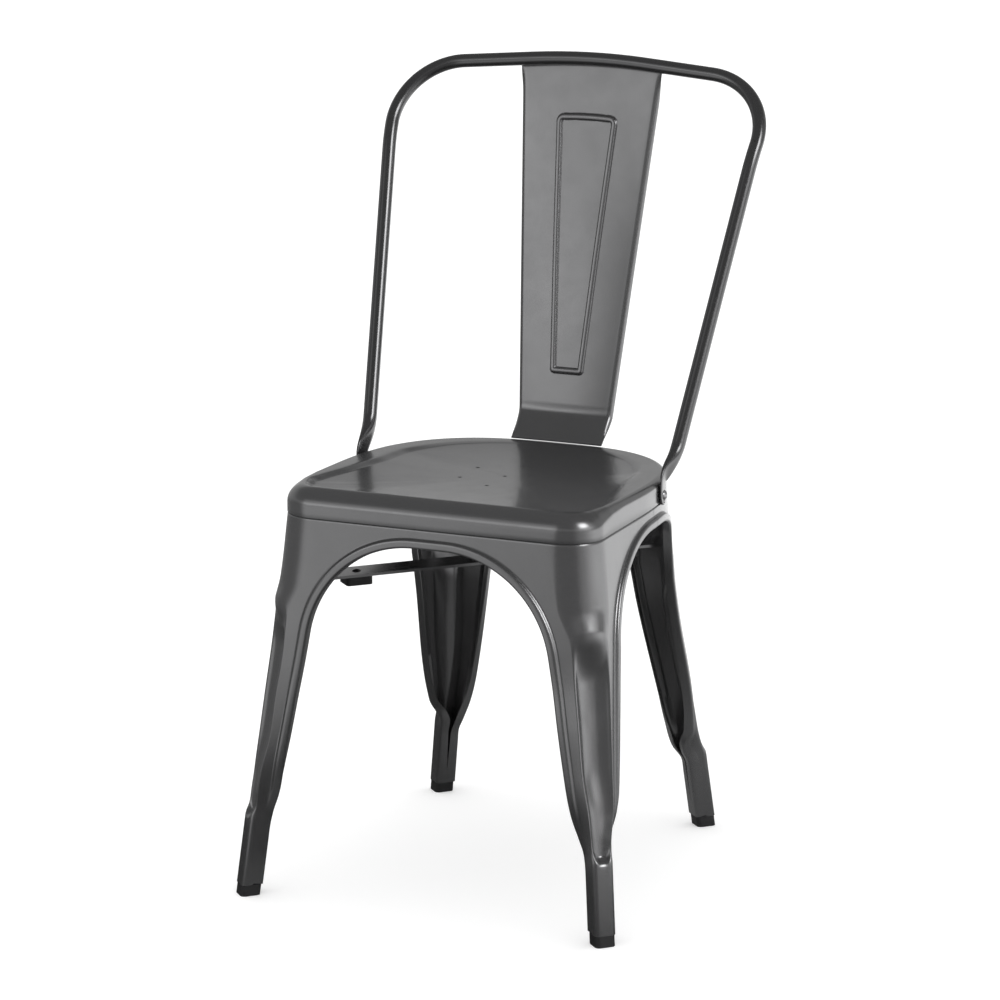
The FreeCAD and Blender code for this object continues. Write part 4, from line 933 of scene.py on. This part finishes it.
def addHoop():
    path = roundedPath(hoopCorners(), hoopFacts["bends"])
    axis = (path[1] - path[0]) / np.linalg.norm(path[1] - path[0])
    endRings, outward = hoopEndRings(path[0], axis)
    half = path[:np.argmin(np.abs(path[:, 0])) + 1]
    tangents = np.gradient(half, axis=0)
    tangents[-1] = (-1, 0, 0)
    tangents[0] = axis
    tangents /= np.linalg.norm(tangents, axis=1, keepdims=True)
    rings = []
    side = outward
    for centre, way in zip(half[1:], tangents[1:]):
        side = side - way * (side @ way)
        side /= np.linalg.norm(side)
        rings.append(sectionPoints(centre, side, np.cross(way, side), hoopFacts["radius"], hoopFacts["radius"], 2))
    grid = np.array(endRings + rings)
    grid[-1, :, 0] = 0.0
    shell = Shell()
    shell.add(grid, closed=True)
    flip = np.array([-1.0, 1.0, 1.0])
    shell.add(grid * flip, flip=True, closed=True)
    points, faces = shell.done()
    piece = addPiece("BackHoop", points, faces, "gunmetal_paint", "back_hoop")
    fixNormals(piece, 60)
    # The hoop takes the darker copy of the paint, whose darker tone is painted shade
    piece.data.materials.clear()
    piece.data.materials.append(tubeShadedPaint)


def addSplat():
    s = splatFacts
    # Heights of the rows, dense at both ends of the panel
    levels = [s["top"], s["top"] - 1.5] + list(np.arange(s["top"] - 5, 790.0, -4.5))
    levels += list(np.arange(789.0, 762.0, -0.7)) + list(np.arange(760.0, 524.0, -6.0))
    levels += list(np.arange(522.0, 498.0, -0.7)) + list(np.arange(496.0, 470.0, -3.0))
    rows = [(splatY(z), z, 1.0) for z in levels]
    bottom = smoothTable([(k, *place) for k, place in enumerate(s["knee"])])
    last = len(s["knee"]) - 1
    for t in np.linspace(0, last, 46):
        y, z = bottom(t)
        rows.append((y, z, 1 - t / last))
    grid = []
    for index, (y, z, straight) in enumerate(rows):
        before = rows[max(index - 1, 0)]
        after = rows[min(index + 1, len(rows) - 1)]
        way = np.array([before[0] - after[0], before[1] - after[1]])
        way /= np.linalg.norm(way)
        forward = np.array([-way[1], way[0]])
        share = (z - s["low"]) / (s["top"] - s["low"])
        wide = s["halfLow"] + (s["halfTop"] - s["halfLow"]) * share
        panelShare = (z - s["panelLow"]) / (s["panelTop"] - s["panelLow"])
        panel = max(s["panelHalfLow"] + (s["panelHalfTop"] - s["panelHalfLow"]) * panelShare, s["panelLeast"])
        flat = wide - s["roll"]
        x = np.concatenate([np.linspace(0, panel - 10.5, 7)[:-1], np.linspace(panel - 10.5, panel + 1.5, 30)[:-1],
                            np.linspace(panel + 1.5, flat, 12)])
        # Bead round the panel
        bow = s["panelBow"] * (1 - np.clip(x / s["panelHalfTop"], 0, 1) ** 2)
        dx = panel - x
        dz = np.minimum(s["panelTop"] - s["panelBow"] + bow - z, z - s["panelLow"])
        radius = s["panelRound"] if z > (s["panelTop"] + s["panelLow"]) / 2 else s["panelRoundLow"]
        inside = np.where((dx < radius) & (dz < radius),
                          radius - np.hypot(radius - dx, radius - dz), np.minimum(dx, dz))
        place = np.clip((inside - s["bead"] / 2) / (s["bead"] / 2), -1, 1)
        raised = s["beadHeight"] * (1 - np.abs(place) ** 3.2) ** 0.65
        crown = s["crown"] * (1 - (x / wide) ** 2) * float(smoothStep(s["top"] - z, 10.0, 230.0)) * straight
        out = raised + crown
        # Rolled side edge
        rolled = float(smoothStep(s["top"] - z, 6.0, 46.0) * smoothStep(straight, 0.12, 0.75))
        k = np.linspace(0, 1, 12)[1:]
        edgeX = flat + s["roll"] * (rolled * np.sin(k * math.pi / 2) + (1 - rolled) * k)
        edgeOut = -s["roll"] * rolled * (1 - np.cos(k * math.pi / 2))
        x = np.concatenate([x, edgeX])
        out = np.concatenate([out, edgeOut + crown[-1]])
        half = np.stack([x, y + forward[0] * out, z + forward[1] * out], 1)
        full = np.concatenate([half[::-1] * np.array([-1, 1, 1]), half[1:]])
        grid.append(full)
    shell = Shell()
    shell.add(np.array(grid), flip=True)
    points, faces = shell.done()
    piece = addPiece("BackSplat", points, faces, "gunmetal_paint", "back_splat")
    thicken(piece, s["sheet"])
    fixNormals(piece, 60)


addHoop()
addSplat()
print("back done")


def paintNodes():
    # The pieces that keep their CAD mesh
    for part in frame["record"]["subparts"]:
        node = frame["nodes"][part["node"]]
        node.data.materials.clear()
        node.data.materials.append(slotMaterials[part["material_slot"]])


paintNodes()

# Floor and light: a white floor and background, with a studio's soft bands for reflections

studio = {
    # Soft lights: direction on the floor plane, alignment where it begins and where it is full, level
    "front": ((-0.5, -0.866, 0.0), 0.93, 0.999, 0.72),
    "rear": ((0.5, 0.87, 0.0), 0.0, 0.9, 1.3),
    "side": ((0.98, -0.17, 0.0), 0.72, 0.97, 0.42),
    "strip": ((0.96, -0.28, 0.0), 0.955, 0.99, 7.0),
    "dark": 0.24, "low": 0.8, "rearLow": 0.46, "over": 0.19, "band": 1.55,
    # Heights on the unit sphere over which a part of the room begins or ends
    "overFrom": (0.4, 0.7), "bandFrom": (0.08, 0.18), "bandTo": (0.19, 0.37),
    "stripFrom": (0.28, 0.44), "stripTo": (0.6, 0.8), "frontToRear": (-0.35, 0.45),
    # In reflections the floor has painted shade near the chair: distances in metres and the level there
    "floorRun": (0.36, 1.7), "nearFloor": 0.14,
    "floorReach": 15.0, "floorColour": 0.9, "floorGlow": 0.32,
}


def mapRange(tree, source, low, high, toLow, toHigh):
    node = addNode(tree, "ShaderNodeMapRange", {"interpolation_type": "SMOOTHSTEP"},
                   From_Min=low, From_Max=high, To_Min=toLow, To_Max=toHigh)
    tree.links.new(source, node.inputs["Value"])
    return node.outputs["Result"]


def mathNode(tree, operation, first, second):
    node = addNode(tree, "ShaderNodeMath", {"operation": operation})
    for place, value in enumerate((first, second)):
        if isinstance(value, (int, float)):
            node.inputs[place].default_value = value
        else:
            tree.links.new(value, node.inputs[place])
    return node.outputs[0]


def alignment(tree, source, way):
    # How near a direction, taken level, is to a given one: 1 along it, -1 against it
    flat = addNode(tree, "ShaderNodeVectorMath", {"operation": "MULTIPLY"})
    flat.inputs[1].default_value = (1.0, 1.0, 0.0)
    direction = addNode(tree, "ShaderNodeVectorMath", {"operation": "NORMALIZE"})
    product = addNode(tree, "ShaderNodeVectorMath", {"operation": "DOT_PRODUCT"})
    product.inputs[1].default_value = way
    tree.links.new(source, flat.inputs[0])
    tree.links.new(flat.outputs["Vector"], direction.inputs[0])
    tree.links.new(direction.outputs["Vector"], product.inputs[0])
    return product.outputs["Value"]


def lightLevel(tree, source, light):
    way, low, high, level = light
    return mapRange(tree, alignment(tree, source, way), low, high, 0.0, level)


def roomLevel(tree, source):
    # The room is dark except for three soft lights
    front, rear, side = [lightLevel(tree, source, studio[name]) for name in ("front", "rear", "side")]
    return mathNode(tree, "ADD", mathNode(tree, "ADD", front, side), mathNode(tree, "ADD", rear, studio["dark"]))


def glossyMix(tree, plain, mirrored, target):
    # Reflections see one shader, everything else the other
    paths = addNode(tree, "ShaderNodeLightPath")
    chosen = addNode(tree, "ShaderNodeMixShader")
    tree.links.new(paths.outputs["Is Glossy Ray"], chosen.inputs[0])
    tree.links.new(plain.outputs[0], chosen.inputs[1])
    tree.links.new(mirrored.outputs[0], chosen.inputs[2])
    tree.links.new(chosen.outputs[0], target)
    return paths


def addFloor():
    s = studio
    reach = s["floorReach"]
    mesh = bpy.data.meshes.new("floor")
    mesh.from_pydata([(-reach, -reach, 0), (reach, -reach, 0), (reach, reach, 0), (-reach, reach, 0)], [],
                     [(0, 1, 2, 3)])
    floor = bpy.data.objects.new("floor", mesh)
    bpy.context.scene.collection.objects.link(floor)
    material, tree, shader, place = newMaterial("floorPaint")
    link = tree.links.new
    shader.inputs["Base Color"].default_value = (s["floorColour"], s["floorColour"], s["floorColour"], 1)
    shader.inputs["Roughness"].default_value = 0.95
    shader.inputs["Specular IOR Level"].default_value = 0.0
    glow = addNode(tree, "ShaderNodeEmission", Strength=s["floorGlow"])
    lit = addNode(tree, "ShaderNodeAddShader")
    link(shader.outputs[0], lit.inputs[0])
    link(glow.outputs[0], lit.inputs[1])
    # What reflections see of the floor is a glow: painted light from the room's soft lights, with painted shade near
    # the chair
    away = addNode(tree, "ShaderNodeVectorMath", {"operation": "LENGTH"})
    link(place.outputs["Object"], away.inputs[0])
    level = mathNode(tree, "MULTIPLY", roomLevel(tree, place.outputs["Object"]),
                     mapRange(tree, away.outputs["Value"], *s["floorRun"], s["nearFloor"], 1.0))
    mirrored = addNode(tree, "ShaderNodeEmission")
    link(level, mirrored.inputs["Strength"])
    paths = glossyMix(tree, lit, mirrored, tree.nodes["Material Output"].inputs["Surface"])
    link(paths.outputs["Is Camera Ray"], glow.inputs["Color"])
    mesh.materials.append(material)


def addWorld():
    s = studio
    world = bpy.data.worlds.new("world")
    bpy.context.scene.world = world
    world.use_nodes = True
    tree = world.node_tree
    direction = addNode(tree, "ShaderNodeTexCoord").outputs["Generated"]
    parts = addNode(tree, "ShaderNodeSeparateXYZ")
    tree.links.new(direction, parts.inputs[0])
    y, z = parts.outputs["Y"], parts.outputs["Z"]
    room = mathNode(tree, "MULTIPLY", roomLevel(tree, direction), s["low"])
    front = mapRange(tree, y, *s["frontToRear"], 1.0, 0.0)
    rear = mathNode(tree, "MULTIPLY", mathNode(tree, "SUBTRACT", 1.0, front), s["rearLow"])
    low = mathNode(tree, "ADD", mathNode(tree, "MULTIPLY", room, front), rear)
    over = mapRange(tree, z, *s["overFrom"], 1.0, 0.0)
    low = mathNode(tree, "MAXIMUM", mathNode(tree, "MULTIPLY", low, over), s["over"])
    band = mathNode(tree, "MULTIPLY", mapRange(tree, z, *s["bandFrom"], 0.0, 1.0),
                    mapRange(tree, z, *s["bandTo"], 1.0, 0.0))
    strength = mathNode(tree, "MULTIPLY", mathNode(tree, "MULTIPLY", room, front), s["band"])
    level = mathNode(tree, "ADD", low, mathNode(tree, "MULTIPLY", band, strength))
    strip = lightLevel(tree, direction, s["strip"])
    strip = mathNode(tree, "MULTIPLY", strip, mapRange(tree, z, *s["stripTo"], 1.0, 0.0))
    strip = mathNode(tree, "MULTIPLY", strip, mapRange(tree, z, *s["stripFrom"], 0.0, 1.0))
    level = mathNode(tree, "ADD", level, strip)
    mirrored = tree.nodes["Background"]
    mirrored.inputs["Color"].default_value = (1, 1, 1, 1)
    tree.links.new(level, mirrored.inputs["Strength"])
    plain = addNode(tree, "ShaderNodeBackground", Strength=1.0)
    plain.inputs["Color"].default_value = (1, 1, 1, 1)
    glossyMix(tree, plain, mirrored, tree.nodes["World Output"].inputs["Surface"])


addFloor()
addWorld()
bpy.context.scene.view_settings.view_transform = "Standard"
